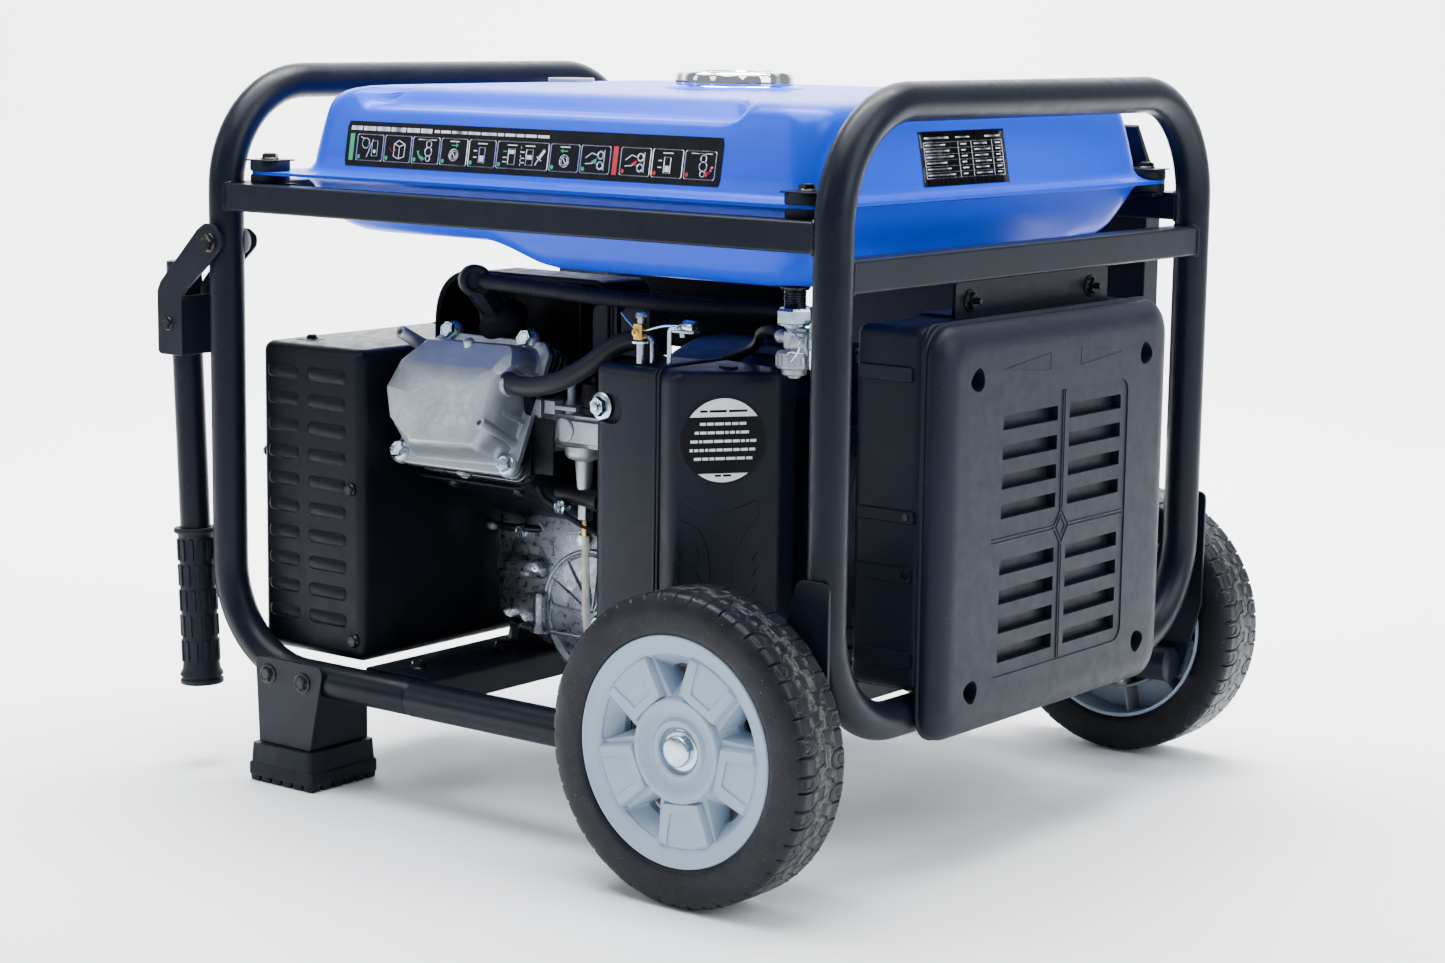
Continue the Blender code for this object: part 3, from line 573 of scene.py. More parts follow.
def build_camera():
    azimuth, pitch, roll = CAMERA_AZIMUTH, math.radians(9.08), math.radians(0.77)
    ahead = Vector((-math.sin(azimuth) * math.cos(pitch), math.cos(azimuth) * math.cos(pitch),
        -math.sin(pitch)))
    right = Vector((math.cos(azimuth), math.sin(azimuth), 0))
    up = right.cross(ahead)
    x = right * math.cos(roll) + up * math.sin(roll)
    y = -right * math.sin(roll) + up * math.cos(roll)
    data = bpy.data.cameras.new("camera")
    data.lens, data.sensor_width, data.clip_end = 73.57, 36.0, 100.0
    cam = bpy.data.objects.new("camera", data)
    bpy.context.scene.collection.objects.link(cam)
    cam.matrix_world = Matrix.Translation((1.578, -2.004, 0.6625)) @ Matrix((x, y,
        -ahead)).transposed().to_4x4()
    bpy.context.scene.camera = cam


build_stage()
build_camera()


# ------------------------------------------------------------------ frame
POST_L, POST_R, POST_Y = -304.0, 334.0, 265.5  # middles of the posts


def weld(name, post_x, post_y, z, half_h, half_w, axis, facing):
    """A slightly uneven weld bead where a square rail meets a round post."""
    ring = []
    for u, v in rr(-half_w, half_w, -half_h, half_h, 3.0, 4):
        reach = math.sqrt(max(0.0, TUBE_R ** 2 - u * u)) * facing
        ring.append((post_x + reach, post_y + u, z + v) if axis == "X"
            else (post_x + u, post_y + reach, z + v))
    dense = []
    for a, b in zip(ring, ring[1:] + ring[:1]):
        a, b = Vector(a), Vector(b)
        n = max(1, int((b - a).length / 1.6))
        dense += [a.lerp(b, k / n) for k in range(n)]
    put(name, sweep(dense, lambda t: 1.9 + 0.35 * math.sin(t * 130.0), 8, True), "frame", sharp=80)


def build_frame():
    x, y = POST_L, POST_Y
    corners = [(-84.6, -y, SIDE_Z), (x, -y, SIDE_Z), (x, -y, 597), (x, y, 597), (x, y, SIDE_Z),
        (-84.6, y, SIDE_Z)]
    path = bend_path(corners, [0, 90, 92, 92, 90, 0], 18)
    ends = 0.006
    hoop = sweep([path[0], path[0] + Vector((-3, 0, 0))] + path[1:-1]
        + [path[-1] + Vector((-3, 0, 0)), path[-1]], lambda t: TUBE_R if ends < t < 1 - ends
        else 13.6, 48)
    put("hoop_left", hoop, "frame", nodes=("frame_hoop_left",), sharp=50)
    x = POST_R
    corners = [(x, -y, 128), (x, -y, 597), (x, y, 597), (x, y, 128)]
    put("hoop_right", sweep(bend_path(corners, [85, 92, 92, 85], 18, True), TUBE_R, 48, True),
        "frame", nodes=("frame_hoop_right",), sharp=60)
    for s, side in ((-1, "front"), (1, "back")):
        py = s * POST_Y
        tube = sweep([(-83.6, py, SIDE_Z), (-83.2, py, SIDE_Z), (-81.5, py, SIDE_Z),
            (100, py, SIDE_Z), (329, py, SIDE_Z), (330, py, SIDE_Z)],
            lambda t: 14.4 if t in (0.0, 1.0) else 15.35, 48)
        put("side_rail_" + side, tube, "frame", nodes=("lower_rail_" + side,), sharp=50)
        outline = rounded([(200, 79), (330, 79), (349, 150), (349, 250), (320, 250), (292, 152),
            (200, 120)], [6, 10, 20, 8, 8, 30, 10])
        face = put("wheel_plate_" + side, prism(outline, s * 281.0, s * 284.2), "frame", bevel=0.7)
        cut(face, aim(lathe([(8.4, 8), (8.4, -8)], 24), (WHEEL_X, s * 282.6, WHEEL_Z), (0, 1, 0)))
        put("wheel_plate_lug_" + side, block((205, min(s * 262, s * 282), 84),
            (320, max(s * 262, s * 282), 104)), "frame", bevel=1.5)
        put("upper_rail_bar_" + side, block((POST_L, py - SQUARE, RAIL_Z - SQUARE),
            (POST_R, py + SQUARE, RAIL_Z + SQUARE)), "frame", nodes=("upper_rail_" + side,),
            bevel=2.2, seg=4)
        for i, mx in enumerate((-268.0, 297.0)):
            put("mount_tab_%s_%d" % (side, i), prism(rounded([(mx - 17, s * 250),
                (mx - 17, s * 232), (mx + 17, s * 232), (mx + 17, s * 250)], 3), 508.6, 511.7,
                "XY"), "frame", bevel=0.6)
        weld("weld_%s_l" % side, POST_L, py, RAIL_Z, SQUARE, 11.2, "X", 1)
        weld("weld_%s_r" % side, POST_R, py, RAIL_Z, SQUARE, 11.2, "X", -1)
        weld("weld_end_%s_r" % side, POST_R, py, END_Z, 12.5, 11.2, "Y", -s)
        weld("weld_end_%s_l" % side, POST_L, py, RAIL_Z, SQUARE, 11.2, "Y", -s)
    for name, x, z, half in (("upper_rail_left", POST_L, RAIL_Z, SQUARE),
            ("upper_rail_right", POST_R, END_Z, 12.5)):
        put(name + "_bar", block((x - SQUARE, -258, z - half), (x + SQUARE, 258, z + half)),
            "frame", nodes=(name,), bevel=2.2, seg=4)
    for name, x0, x1 in (("cross_member_left", -155.0, -80.0),
            ("cross_member_right", 105.0, 180.0)):
        lo, hi, w = 84.0, 109.0, 3.0
        outline = rounded([(x0, lo), (x0, hi), (x1, hi), (x1, lo), (x1 - w, lo), (x1 - w, hi - w),
            (x0 + w, hi - w), (x0 + w, lo)], [0, 5, 5, 0, 0, 2, 2, 0])
        put(name + "_channel", prism(outline, -252, 252), "frame", nodes=(name,), bevel=0.5)
        for i, yy in enumerate((-225, -120, 90, 225)):
            bolt("%s_bolt_%d" % (name, i), ((x0 + x1) / 2, yy, hi), (0, 0, 1), 8, "boltblack")


# ------------------------------------------------------------------ feet
def build_feet():
    for s, side in ((-1, "front"), (1, "back")):
        y0, y1 = s * 283.3, s * 214.0
        face = rounded([(-252, 34), (-190, 34), (-173.5, 110), (-256, 110)], [2, 3, 9, 7])
        put("foot_face_" + side, prism(face, s * 280.9, s * 283.4), "frame",
            nodes=("foot_bracket_" + side,), bevel=0.9)
        for nm, a, b in (("left", -252.0, -249.5), ("right", -192.5, -190.0)):
            lean = rounded([(y0, 34), (y1, 34), (y1, 78), (y0, 84)], [2, 2, 5, 1])
            put("foot_cheek_%s_%s" % (nm, side), prism(lean, a, b, "YZ"), "frame", bevel=0.8)
        put("foot_floor_" + side, block((-252, min(y0, y1), 34), (-190, max(y0, y1), 36.5)),
            "frame", bevel=0.8)
        put("foot_rear_" + side, prism(rr(-252, -190, 34, 79, 4), y1 + s * 0.1, y1 + s * 2.4),
            "frame", bevel=0.7)
        for i, (bx, bz) in enumerate(((-240.0, 95.0), (-198.5, 93.0))):
            bolt("foot_bolt_%s_%d" % (side, i), (bx, s * 283.6, bz), (0, s, 0), 7.0, "boltblack",
                washer=True, length=3)
        # rubber foot: stepped block with a waffle of studs under it
        yc = s * 249.0
        tiers = []
        for z, hx, hy, r in ((33.6, 35.3, 39.3, 4), (16.5, 36.8, 39.6, 4), (16.0, 38.0, 40.0, 3),
                (15.0, 38.6, 40.0, 3), (6.0, 38.8, 40.0, 3), (5.0, 38.0, 39.5, 3)):
            tiers.append([(x - 221.5, y + yc, z) for x, y in rr(-hx, hx, -hy, hy, r, 4)])
        parts = [loft(tiers)]
        for i in range(6):
            for j in range(6):
                cx, cy = -221.5 - 32.3 + i * 12.92, yc - 33.2 + j * 13.28
                parts.append(loft([[(cx + x * k, cy + y * k, z)
                    for x, y in rr(-5.4, 5.4, -5.4, 5.4, 1.0, 2)]
                    for k, z in ((1.0, 5.4), (0.93, 0.0))]))
        put("rubber_foot_block_" + side, join(*parts), "rubber", nodes=("rubber_foot_" + side,),
            bevel=0.4)


# ------------------------------------------------------------------ wheels
def tread_height(u, v):
    """Depth of the tread pattern at u along and v across, in millimetres, and its worn patch."""
    period, half = 29.0, 26.0
    side = np.sign(v)
    s = np.mod(u + np.where(side > 0, period / 2, 0.0), period)
    t = np.abs(v)

    def seg(x0, y0, x1, y1):
        best = None
        for shift in (-period, 0.0, period):
            dx, dy = x1 - x0, y1 - y0
            px, py = s - x0 - shift, t - y0
            k = np.clip((px * dx + py * dy) / (dx * dx + dy * dy), 0, 1)
            d = np.hypot(px - k * dx, py - k * dy)
            best = d if best is None else np.minimum(best, d)
        return best

    def line(d, width, soft):
        return 1 - np.clip((d - width) / soft, 0, 1)

    lateral = np.min([seg(0, half + 4, 0, 13), seg(14.5, half + 4, 14.5, 13)], axis=0)
    zigzag = np.min([seg(0, 13, 4.5, 7.5), seg(4.5, 7.5, 10, 7.5), seg(10, 7.5, 14.5, 13),
        seg(14.5, 13, 19.5, 7.5)], axis=0)
    inner = np.min([seg(4.5, 7.5, 1.5, 0.6), seg(19.5, 7.5, 22.5, 0.6)], axis=0)
    arrow = np.min([seg(3.6, 24, 3.6, 18), seg(3.6, 18, 7.2, 14.6), seg(7.2, 14.6, 10.8, 18),
        seg(10.8, 18, 10.8, 24), seg(3.6, 24, 10.8, 24)], axis=0)
    pocket = (s > 3.6) & (s < 10.8) & (t > 14.6 + np.abs(s - 7.2)) & (t < 24)
    deep = 0.9 + 1.3 * np.clip((t - 14) / 10, 0, 1)
    h = deep * line(lateral, 0.5, 0.6)
    h = np.maximum(h, 0.8 * line(zigzag, 0.3, 0.5))
    h = np.maximum(h, 0.6 * line(inner, 0.25, 0.45))
    h = np.maximum(h, 0.55 * line(arrow, 0.3, 0.45))
    h = h + np.where(pocket, 0.35, 0.0)
    # alternate blocks stand a little proud of each other
    h = h + np.where((s > 14.5) & (t > 13), 0.28, 0.0)
    h -= 0.5 * np.exp(-(v / 0.4) ** 2)
    worn = (t < 7.4) & (s > 2) & (s < 19) | (t < 12.5) & (t >= 7.4) & (np.abs(s - 24) < 3.4)
    return (h, worn.astype(float))


def build_tyre(side, s):
    outer, inner = 119.55, 88.3
    steps = 936
    sidewall = [(inner, 3.0), (inner + 1, 2.0), (94, 1.2), (104, 0.7), (112, 1.6), (115.0, 2.8)]
    across = [3.6] + list(np.linspace(4.6, 55.4, 68)) + [56.4]
    profile = [(r, w, 0) for r, w in sidewall]
    for w in across:
        v = w - 30.0
        edge = max(0.0, abs(v) - 21.0)
        profile.append((outer - edge * edge * 0.085, w, 1))
    profile += [(r, 60 - w, 0) for r, w in reversed(sidewall)]
    rows, worn_rows = [], []
    theta = np.linspace(0, 2 * PI, steps, endpoint=False)
    for r, w, tread in profile:
        if tread:
            h, worn = tread_height(theta * outer, np.full(steps, w - 30.0))
        else:
            h, worn = np.zeros(steps), np.zeros(steps)
        rows.append(np.c_[(r - h) * np.cos(theta), np.full(steps, s * (WHEEL_Y + w)),
            (r - h) * np.sin(theta)])
        worn_rows.append(worn)
    pts = np.concatenate(rows) * MM + np.array([WHEEL_X * MM, 0, WHEEL_Z * MM])
    n = len(profile)
    i, j = np.meshgrid(np.arange(n), np.arange(steps), indexing="ij")
    k, m = (i + 1) % n, (j + 1) % steps
    faces = np.stack([i * steps + j, i * steps + m, k * steps + m, k * steps + j], -1)
    if s < 0:
        faces = faces[..., ::-1]
    mesh = bpy.data.meshes.new("tyre_tread_" + side)
    mesh.from_pydata(pts.tolist(), [], faces.reshape(-1, 4).tolist())
    mesh.attributes.new("worn", "FLOAT", "POINT").data.foreach_set("value",
        np.concatenate(worn_rows).astype(np.float32))
    mesh.shade_smooth()
    mesh.set_sharp_from_angle(angle=math.radians(50))
    mesh.materials.append(M["tyre"])
    obj = bpy.data.objects.new("tyre_tread_" + side, mesh)
    bpy.context.scene.collection.objects.link(obj)
    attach(obj, "wheel_" + side)
    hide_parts("tyre_" + side)


def tri_loop(points, radius, z, n=4):
    return [(x, y, z) for x, y in rounded(points, radius, n)]


def build_hub(side, s):
    body = "wheel_" + side
    turn = math.radians(90 + 7)
    at, axis = (WHEEL_X, s * WHEEL_Y, WHEEL_Z), (0, s, 0)
    front = [(88.1, 3), (88.1, 57), (87.2, 58.2), (85.8, 58.2), (84.4, 57.0), (78.5, 54.9),
        (74.2, 53.0), (72.6, 51.2), (71.6, 49.2), (41, 49.2), (39.6, 54.0), (38.6, 55.2),
        (35.6, 55.2), (34.4, 54.4), (30.6, 50.4), (28.2, 49.4), (25.6, 49.4), (24.4, 50.2),
        (22.6, 52.0), (19.6, 52.0), (18.4, 51.0), (18.0, 47.2), (8.6, 47.2), (8.6, 6), (17, 6),
        (18.5, 30), (84.6, 30), (85.2, 3)]
    hub = put("hub_shell_" + side, aim(lathe(front, 180, True), at, axis), "hub", body,
        nodes=("wheel_hub_" + side,), bevel=0.5)
    cutters = []
    for k in range(5):
        a = turn + 2 * PI * k / 5
        spin = Matrix.Rotation(a, 4, "Z")
        top = [(39.8, -2.6), (71.5, -18.0), (73.2, 0), (71.5, 18.0), (39.8, 2.6)]
        low = [(50.0, -1.8), (62.0, -11.5), (64.0, 0), (62.0, 11.5), (50.0, 1.8)]
        radii = [2.6, 2.5, 25, 2.5, 2.6]
        tool = loft([tri_loop(top, radii, 56.0), tri_loop(top, radii, 49.8),
            tri_loop(low, radii, 37.0), tri_loop(low, radii, 24.0)])
        cutters.append(aim(moved(tool, spin), at, axis))
    cut(hub, *cutters)
    # five raised panels with a shallow pocket in each
    for k in range(5):
        a = turn + 2 * PI * (k + 0.5) / 5
        spin = Matrix.Rotation(a, 4, "Z")
        base = [(38.6, -17.5), (38.6, 17.5), (70.8, 25.8), (74.6, 14), (75.6, 0), (74.6, -14),
            (70.8, -25.8)]
        tip = [(40.0, -16.2), (40.0, 16.2), (69.0, 23.6), (70.4, 13), (71.0, 0), (70.4, -13),
            (69.0, -23.6)]
        radii = [1.0, 1.0, 1.4, 14, 20, 14, 1.4]
        panel = loft([tri_loop(base, radii, 47.0, 3), tri_loop(base, radii, 51.0, 3),
            tri_loop(tip, radii, 55.0, 3)])
        piece = put("hub_panel_%s_%d" % (side, k), aim(moved(panel, spin), at, axis), "hub", body,
            bevel=0.7)
        pocket = [(46.5, -10.2), (46.5, 10.2), (67.0, 15.6), (76, 16), (76, -16), (67.0, -15.6)]
        tool = loft([tri_loop(pocket, [1.2, 1.2, 0, 0, 0, 0], z, 3) for z in (53.6, 58.0)])
        cut(piece, aim(moved(tool, spin), at, axis))
    # inner side: ring, spokes and tube, as moulded ribs, in a darker copy of the hub plastic that
    # paints the shade inside the hub
    ribs = [lathe([(60, 29.5), (60, 9), (62.4, 9), (62.4, 29.5)], 96, True),
        lathe([(36, 29.5), (36, 12), (38.4, 12), (38.4, 29.5)], 72, True)]
    for k in range(10):
        rib = block((18, -1.2, 9), (84.9, 1.2, 29.6))
        ribs.append(moved(rib, Matrix.Rotation(turn + PI * k / 5 + PI / 10, 4, "Z")))
    put("hub_ribs_" + side, aim(join(*ribs), at, axis), "hub_painted_shade", body, bevel=0.5)
    stud = [(0, 55.2), (9.5, 55.2), (11.2, 54.6), (12.0, 53.4), (12.0, 47.6), (11.6, 47.0),
        (7.9, 47.0), (7.9, 0), (7.9, -11), (0, -11)]
    put("axle_stud_" + side, aim(lathe(stud, 64), at, axis), "zinc", nodes=("axle_bolt_" + side,),
        bevel=0.3)
    bolt_ring = lathe([(11.9, 47.2), (16.0, 47.2), (16.0, 48.4), (15.4, 48.8), (11.9, 48.8)], 48,
        True)
    put("axle_washer_" + side, aim(bolt_ring, at, axis), "zinc")
    nut("axle_nut_" + side, (WHEEL_X, s * 279.2, WHEEL_Z), (0, -s, 0), 11, "boltblack", stud=2)


# ------------------------------------------------------------------ handles
def build_handles():
    for s, side in ((-1, "front"), (1, "back")):
        body = "handle_" + side
        y = s * POST_Y
        shared = [(-370, 361), (-339, 361), (-339, 414), (-296, 450), (-288.5, 457), (-288, 466)]
        outer = shared + [(-297, 476.5), (-309, 477.5), (-318, 472), (-366, 424), (-370, 416)]
        inner = shared + [(-298, 472), (-306, 471), (-312, 468), (-363, 415), (-370, 405)]
        r_out = [5, 2, 14, 10, 9, 9, 9, 9, 14, 14, 8]
        for nm, off, shape in (("outer", s * 19.5, outer), ("inner", -s * 19.5, inner)):
            plate = prism(rounded(shape, r_out, 5), y + off - 1.5, y + off + 1.5)
            nodes = ("handle_bracket_" + side,) if nm == "outer" else ()
            put("handle_%s_plate_%s" % (nm, side), plate, "frame", body, nodes=nodes, bevel=0.7)
        put("handle_web_" + side, block((-341.8, y - 20, 361.5), (-339.0, y + 20, 413)), "frame",
            body, bevel=0.8)
        top, low = Vector((-358.6, y, 440.0)), Vector((-343.0, y, 72.0))
        axis, length = (top - low).normalized(), (top - low).length
        tube = [(0, length + 2), (12.4, length + 2), (14.6, length + 1.4), (15.2, length),
            (15.3, length - 5), (15.3, length - 18), (14.9, length - 21), (13.3, length - 21.6),
            (13.3, 0), (0, 0)]
        put("handle_bar_" + side, aim(lathe(tube, 48), low, axis), "frame", body,
            nodes=("handle_tube_" + side,), sharp=50)
        bolt("handle_bolt_" + side, (-357.0, y + s * 21.0, 388.0), (0, s, 0), 6, "boltblack", body,
            length=3)
        grip = [(13.5, 135), (14, 136), (18.2, 136), (19, 135), (19, 132.6), (18.2, 131.6),
            (16.4, 131), (15.6, 129), (15.4, 118), (15.8, 60), (15.6, 20), (16.6, 10), (18.2, 7.5),
            (18.9, 6), (18.9, 4.6), (17.4, 3.6), (17.4, 2), (18.9, 1), (19, -2), (18.2, -3),
            (0, -3)]
        put("grip_sleeve_" + side, aim(lathe(grip, 64), low, axis), "rubber", body,
            nodes=("handle_grip_" + side,), sharp=50)
        pads = []
        for row in range(5):
            z0 = 16 + row * 22.5
            for k in range(12):
                pad = loft([[(15.2 if layer == 0 else 16.9, u * (1 - 0.16 * layer), z0 + v)
                    for u, v in rr(-2.5, 2.5, 1.2, 20.0, 1.2, 2)] for layer in (0, 1)])
                pads.append(moved(pad, Matrix.Rotation(2 * PI * (k + 0.5 * (row % 2)) / 12, 4,
                    "Z")))
        put("grip_pads_" + side, aim(join(*pads), low, axis), "rubber", body)
        px, pz = POST_L, 461.0
        for k, off in enumerate((-16.6, 16.6)):
            ring = lathe([(4.3, -1.1), (11.4, -1.1), (11.6, -0.6), (11.6, 0.6), (11.4, 1.1),
                (4.3, 1.1)], 40, True)
            nodes = ("pivot_bolt_" + side,) if k == 0 else ()
            put("pivot_washer_%s_%d" % (side, k), aim(ring, (px, y + off, pz), (0, 1, 0)), "nylon",
                nodes=nodes)
        bolt("pivot_head_" + side, (px, y + s * 21.4, pz), (0, s, 0), 8, "boltblack", length=40)
        nut("pivot_nut_" + side, (px, y - s * 21.4, pz), (0, -s, 0), 8, "boltblack", stud=3)


build_frame()
build_feet()
for sign, end in ((-1, "front"), (1, "back")):
    build_tyre(end, sign)
    build_hub(end, sign)


build_handles()


# ------------------------------------------------------------------ tank
FLANGE = (-284.0, 314.0, -262.0, 262.0)
# inset and height of the plain wall, then of the front ledge
LEVELS = [(0.0, 520.9, 0.0, 520.9), (0.0, 522.0, 0.0, 522.0), (9.0, 522.2, 9.0, 522.2),
    (13.5, 522.7, 13.5, 522.7), (17.0, 523.8, 17.0, 523.8), (20.0, 526.2, 20.0, 526.2),
    (22.4, 531.0, 22.4, 531.0), (23.4, 538.0, 23.4, 538.0), (24.8, 546.0, 24.8, 546.0),
    (26.2, 554.0, 26.2, 554.0), (27.5, 561.0, 27.5, 561.0), (28.6, 566.5, 28.6, 566.5),
    (29.7, 571.5, 29.8, 571.2), (30.8, 576.0, 31.6, 575.2), (32.0, 580.0, 35.0, 577.8),
    (33.6, 584.0, 41.0, 579.0), (35.8, 587.4, 49.0, 579.6), (39.0, 590.6, 55.0, 581.4),
    (43.5, 593.1, 59.0, 585.6), (50.0, 594.8, 63.5, 590.4), (60.0, 595.6, 70.0, 594.2),
    (80.0, 596.0, 92.0, 595.8), (120.0, 596.5, 126.0, 596.5)]


def ramp01(t):
    t = min(1.0, max(0.0, t))
    return t * t * (3 - 2 * t)


def dense_rr(x0, x1, y0, y1, r, nx=90, ny=60, nc=12):
    """Rounded rectangle with evenly spread points, so that loops of any size match."""
    pts = []
    for (ax, ay), (bx, by), n in (((x0 + r, y0), (x1 - r, y0), nx),
            ((x1, y0 + r), (x1, y1 - r), ny), ((x1 - r, y1), (x0 + r, y1), nx),
            ((x0, y1 - r), (x0, y0 + r), ny)):
        pts += [(ax + (bx - ax) * k / n, ay + (by - ay) * k / n) for k in range(n + 1)]
        cx, cy = {nx: (bx, by + r if ay == y0 else by - r), ny: (bx - r if ax == x1 else bx + r,
            by)}[n]
        start = {(True, True): -90, (True, False): 90, (False, True): 0,
            (False, False): 180}[n == nx, ay == y0 if n == nx else ax == x1]
        pts += [(cx + r * math.cos(math.radians(start + 90 * k / nc)),
            cy + r * math.sin(math.radians(start + 90 * k / nc))) for k in range(1, nc)]
    return pts


def ledge_weight(x):
    return ramp01((x + 186) / 20) * ramp01((226 - x) / 22)


def front_wall(x, z):
    """Y of the tank's front wall at a height."""
    w = ledge_weight(x)
    prev = None
    for a, za, b, zb in LEVELS[1:]:
        y, h = -262 + a + (b - a) * w, za + (zb - za) * w
        if prev and h >= z:
            k = (z - prev[1]) / max(1e-06, h - prev[1])
            return prev[0] + (y - prev[0]) * k
        prev = (y, h)
    return prev[0]


def side_wall(z):
    """X of the tank's right wall at a height."""
    for (a, za, _, _), (b, zb, _, _) in zip(LEVELS[1:], LEVELS[2:]):
        if zb >= z:
            k = (z - za) / max(1e-06, zb - za)
            a, b = max(0, a - 9), max(0, b - 9)
            return 314 - (a + (b - a) * k)
    return 240


def build_tank():
    x0, x1, y0, y1 = FLANGE
    loops = []
    for n, (a, za, b, zb) in enumerate(LEVELS):
        right = max(0.0, a - 9)
        left = a + 24 * ramp01(a / 12)
        r = 14 + 12 * ramp01(a / 25) + 22 * ramp01((a - 30) / 30)
        loop = []
        for x, y in dense_rr(x0 + left, x1 - right, y0 + a, y1 - a, r):
            w = ledge_weight(x) * ramp01((-y - 60) / 60)
            z = za + (zb - za) * w + 0.35 * math.sin(x * 0.021) * math.sin(y * 0.019) * (n > 20)
            loop.append((x, y + (b - a) * w, z))
        loops.append(loop)
    put("tank_shell_upper", loft(loops), "tank", nodes=("tank_upper",), sharp=34)

    def deepen(x, y, z):
        if z >= 484:
            return z
        s = ramp01((x + 58) / 76)
        g = 1 - ramp01((y - 108) / 60)
        return 484 - (484 - z) * (1 + 1.62 * s * g)

    shape = [(520.7, -284, 314, 262, 14), (519.3, -284, 314, 262, 14), (519.0, -250, 305, 248, 26),
        (517.2, -245, 301.5, 243.5, 28), (513, -242, 299.6, 240.6, 30),
        (504, -238, 296.5, 236.8, 32), (494, -233.5, 292.4, 231.8, 34),
        (486, -229, 289.2, 227.4, 36), (481, -225, 286, 223.4, 38),
        (477.6, -220.5, 282.6, 219, 40), (475, -215, 278.4, 214, 42),
        (473.4, -208, 272.6, 207, 44), (472.6, -199, 265, 198, 46), (472.3, -188, 256, 187, 46),
        (472.1, -172, 244, 171, 44), (472, -150, 226, 149, 40), (472, -126, 204, 124, 34),
        (472, -100, 178, 98, 28), (472, -74, 150, 70, 22), (472, -48, 122, 42, 16),
        (472, -26, 96, 16, 7)]
    put("tank_shell_lower", loft([[(x, y, deepen(x, y, z)) for x, y in dense_rr(a, b, -h, h, r)]
        for z, a, b, h, r in shape]), "tank", nodes=("tank_lower",), sharp=34)
    # filler: raised seat, chrome scalloped cap and its recessed top
    seat = lathe([(0, 595), (60, 595), (60, 596.6), (58, 597.9), (53, 598.6), (40, 598.8),
        (0, 598.8)], 96)
    put("filler_seat", moved(seat, Matrix.Translation((CAP_X, 0, 0))), "tank")
    wave = lambda k, a: 1.0 if k in (0, 9, 10, 11, 12) else 1 - 0.042 * (0.5 + 0.5
        * math.cos(9 * a)) ** 2
    cap = [(0, 597.6), (48.5, 597.6), (50.5, 598.6), (50.9, 600), (50.4, 606.5), (49.3, 609.0),
        (47.2, 610.6), (44.5, 611.4), (40.5, 611.5), (38, 610.6), (36, 609.2), (30, 608.7),
        (0, 609.3)]
    put("filler_cap", moved(lathe(cap, 216, wave=wave), Matrix.Translation((CAP_X, 0, 0))),
        "chrome", "cap", nodes=("fuel_cap",), sharp=70)
    put("filler_collar", moved(lathe([(51.6, 596), (53.0, 596), (53.0, 598.8), (52.4, 599.3),
        (51.6, 599.3)], 96, True), Matrix.Translation((CAP_X, 0, 0))), "chrome")
    # gauge
    at = Matrix.Translation((-188, 50, 0))
    put("gauge_ring", moved(lathe([(0, 595), (21, 595), (21, 598.6), (20.4, 599.4), (18.6, 599.5),
        (18, 598.8), (17.6, 597.4), (0, 597.4)], 64), at), "grey", nodes=("fuel_gauge",), sharp=50)
    put("gauge_dial", moved(lathe([(0, 597.9), (17.4, 597.9), (17.4, 597.0), (0, 597.0)], 48), at),
        "white")
    put("gauge_marks", join(*[moved(block((12.5, -0.6, 597.8), (16, 0.6, 598.15)),
        at @ Matrix.Rotation(math.radians(a), 4, "Z")) for a in range(20, 161, 20)]), "dark")
    put("gauge_needle", moved(block((-2, -0.7, 598.0), (13.5, 0.7, 598.5)),
        at @ Matrix.Rotation(math.radians(62), 4, "Z")), "red")
    # rubber mounts with a cup washer and a bolt
    for sx, mx in (("left", -268.0), ("right", 297.0)):
        for sy, my in (("front", -248.0), ("back", 248.0)):
            node = "tank_mount_%s_%s" % (sy, sx)
            low = lathe([(4.2, 512.2), (16.2, 512.2), (16.6, 513), (16.8, 516), (16.4, 519.1),
                (4.2, 519.1)], 48, True)
            high = lathe([(4.2, 522.3), (16.4, 522.3), (17, 523.4), (17, 529.4), (16.4, 530.6),
                (4.2, 530.6)], 48, True)
            put(node + "_rubber", moved(join(low, high), Matrix.Translation((mx, my, 0))),
                "rubber", nodes=(node,))
            plate = prism(rounded([(mx - 16, my - 16), (mx + 16, my - 16), (mx + 16, my + 16),
                (mx - 16, my + 16)], [5, 5, 5, 5], 5), 530.7, 532.0, "XY")
            put(node + "_plate", plate, "frame", bevel=0.4)
            bolt(node + "_bolt", (mx, my, 532.1), (0, 0, 1), 7.6, "boltblack", length=19,
                washer=False)


# ------------------------------------------------------------------ stickers
def film(name, shapes, mat, place, lift):
    """Flat shapes laid on a surface; every shape is an outline in sticker millimetres."""
    bm = bmesh.new()
    for shape in shapes:
        us = [p[0] for p in shape]
        span = max(us) - min(us)
        if len(shape) == 4 and span > 12:
            n = int(span / 8) + 1
            a, b, c, d = shape
            low = [(a[0] + (b[0] - a[0]) * k / n, a[1] + (b[1] - a[1]) * k / n)
                for k in range(n + 1)]
            up = [(d[0] + (c[0] - d[0]) * k / n, d[1] + (c[1] - d[1]) * k / n)
                for k in range(n + 1)]
            for k in range(n):
                bm.faces.new([bm.verts.new(place(u, v, lift)) for u, v in (low[k], low[k + 1],
                    up[k + 1], up[k])])
        else:
            bm.faces.new([bm.verts.new(place(u, v, lift)) for u, v in shape])
    faces = list(bm.faces)
    rim = bmesh.ops.extrude_face_region(bm, geom=faces)
    moved_verts = [g for g in rim["geom"] if isinstance(g, bmesh.types.BMVert)]
    if moved_verts:
        here = Vector(place(shapes[0][0][0], shapes[0][0][1], 0))
        there = Vector(place(shapes[0][0][0], shapes[0][0][1], 0.22))
        bmesh.ops.translate(bm, vec=here - there, verts=moved_verts)
    return put(name, bm, mat, sharp=30)


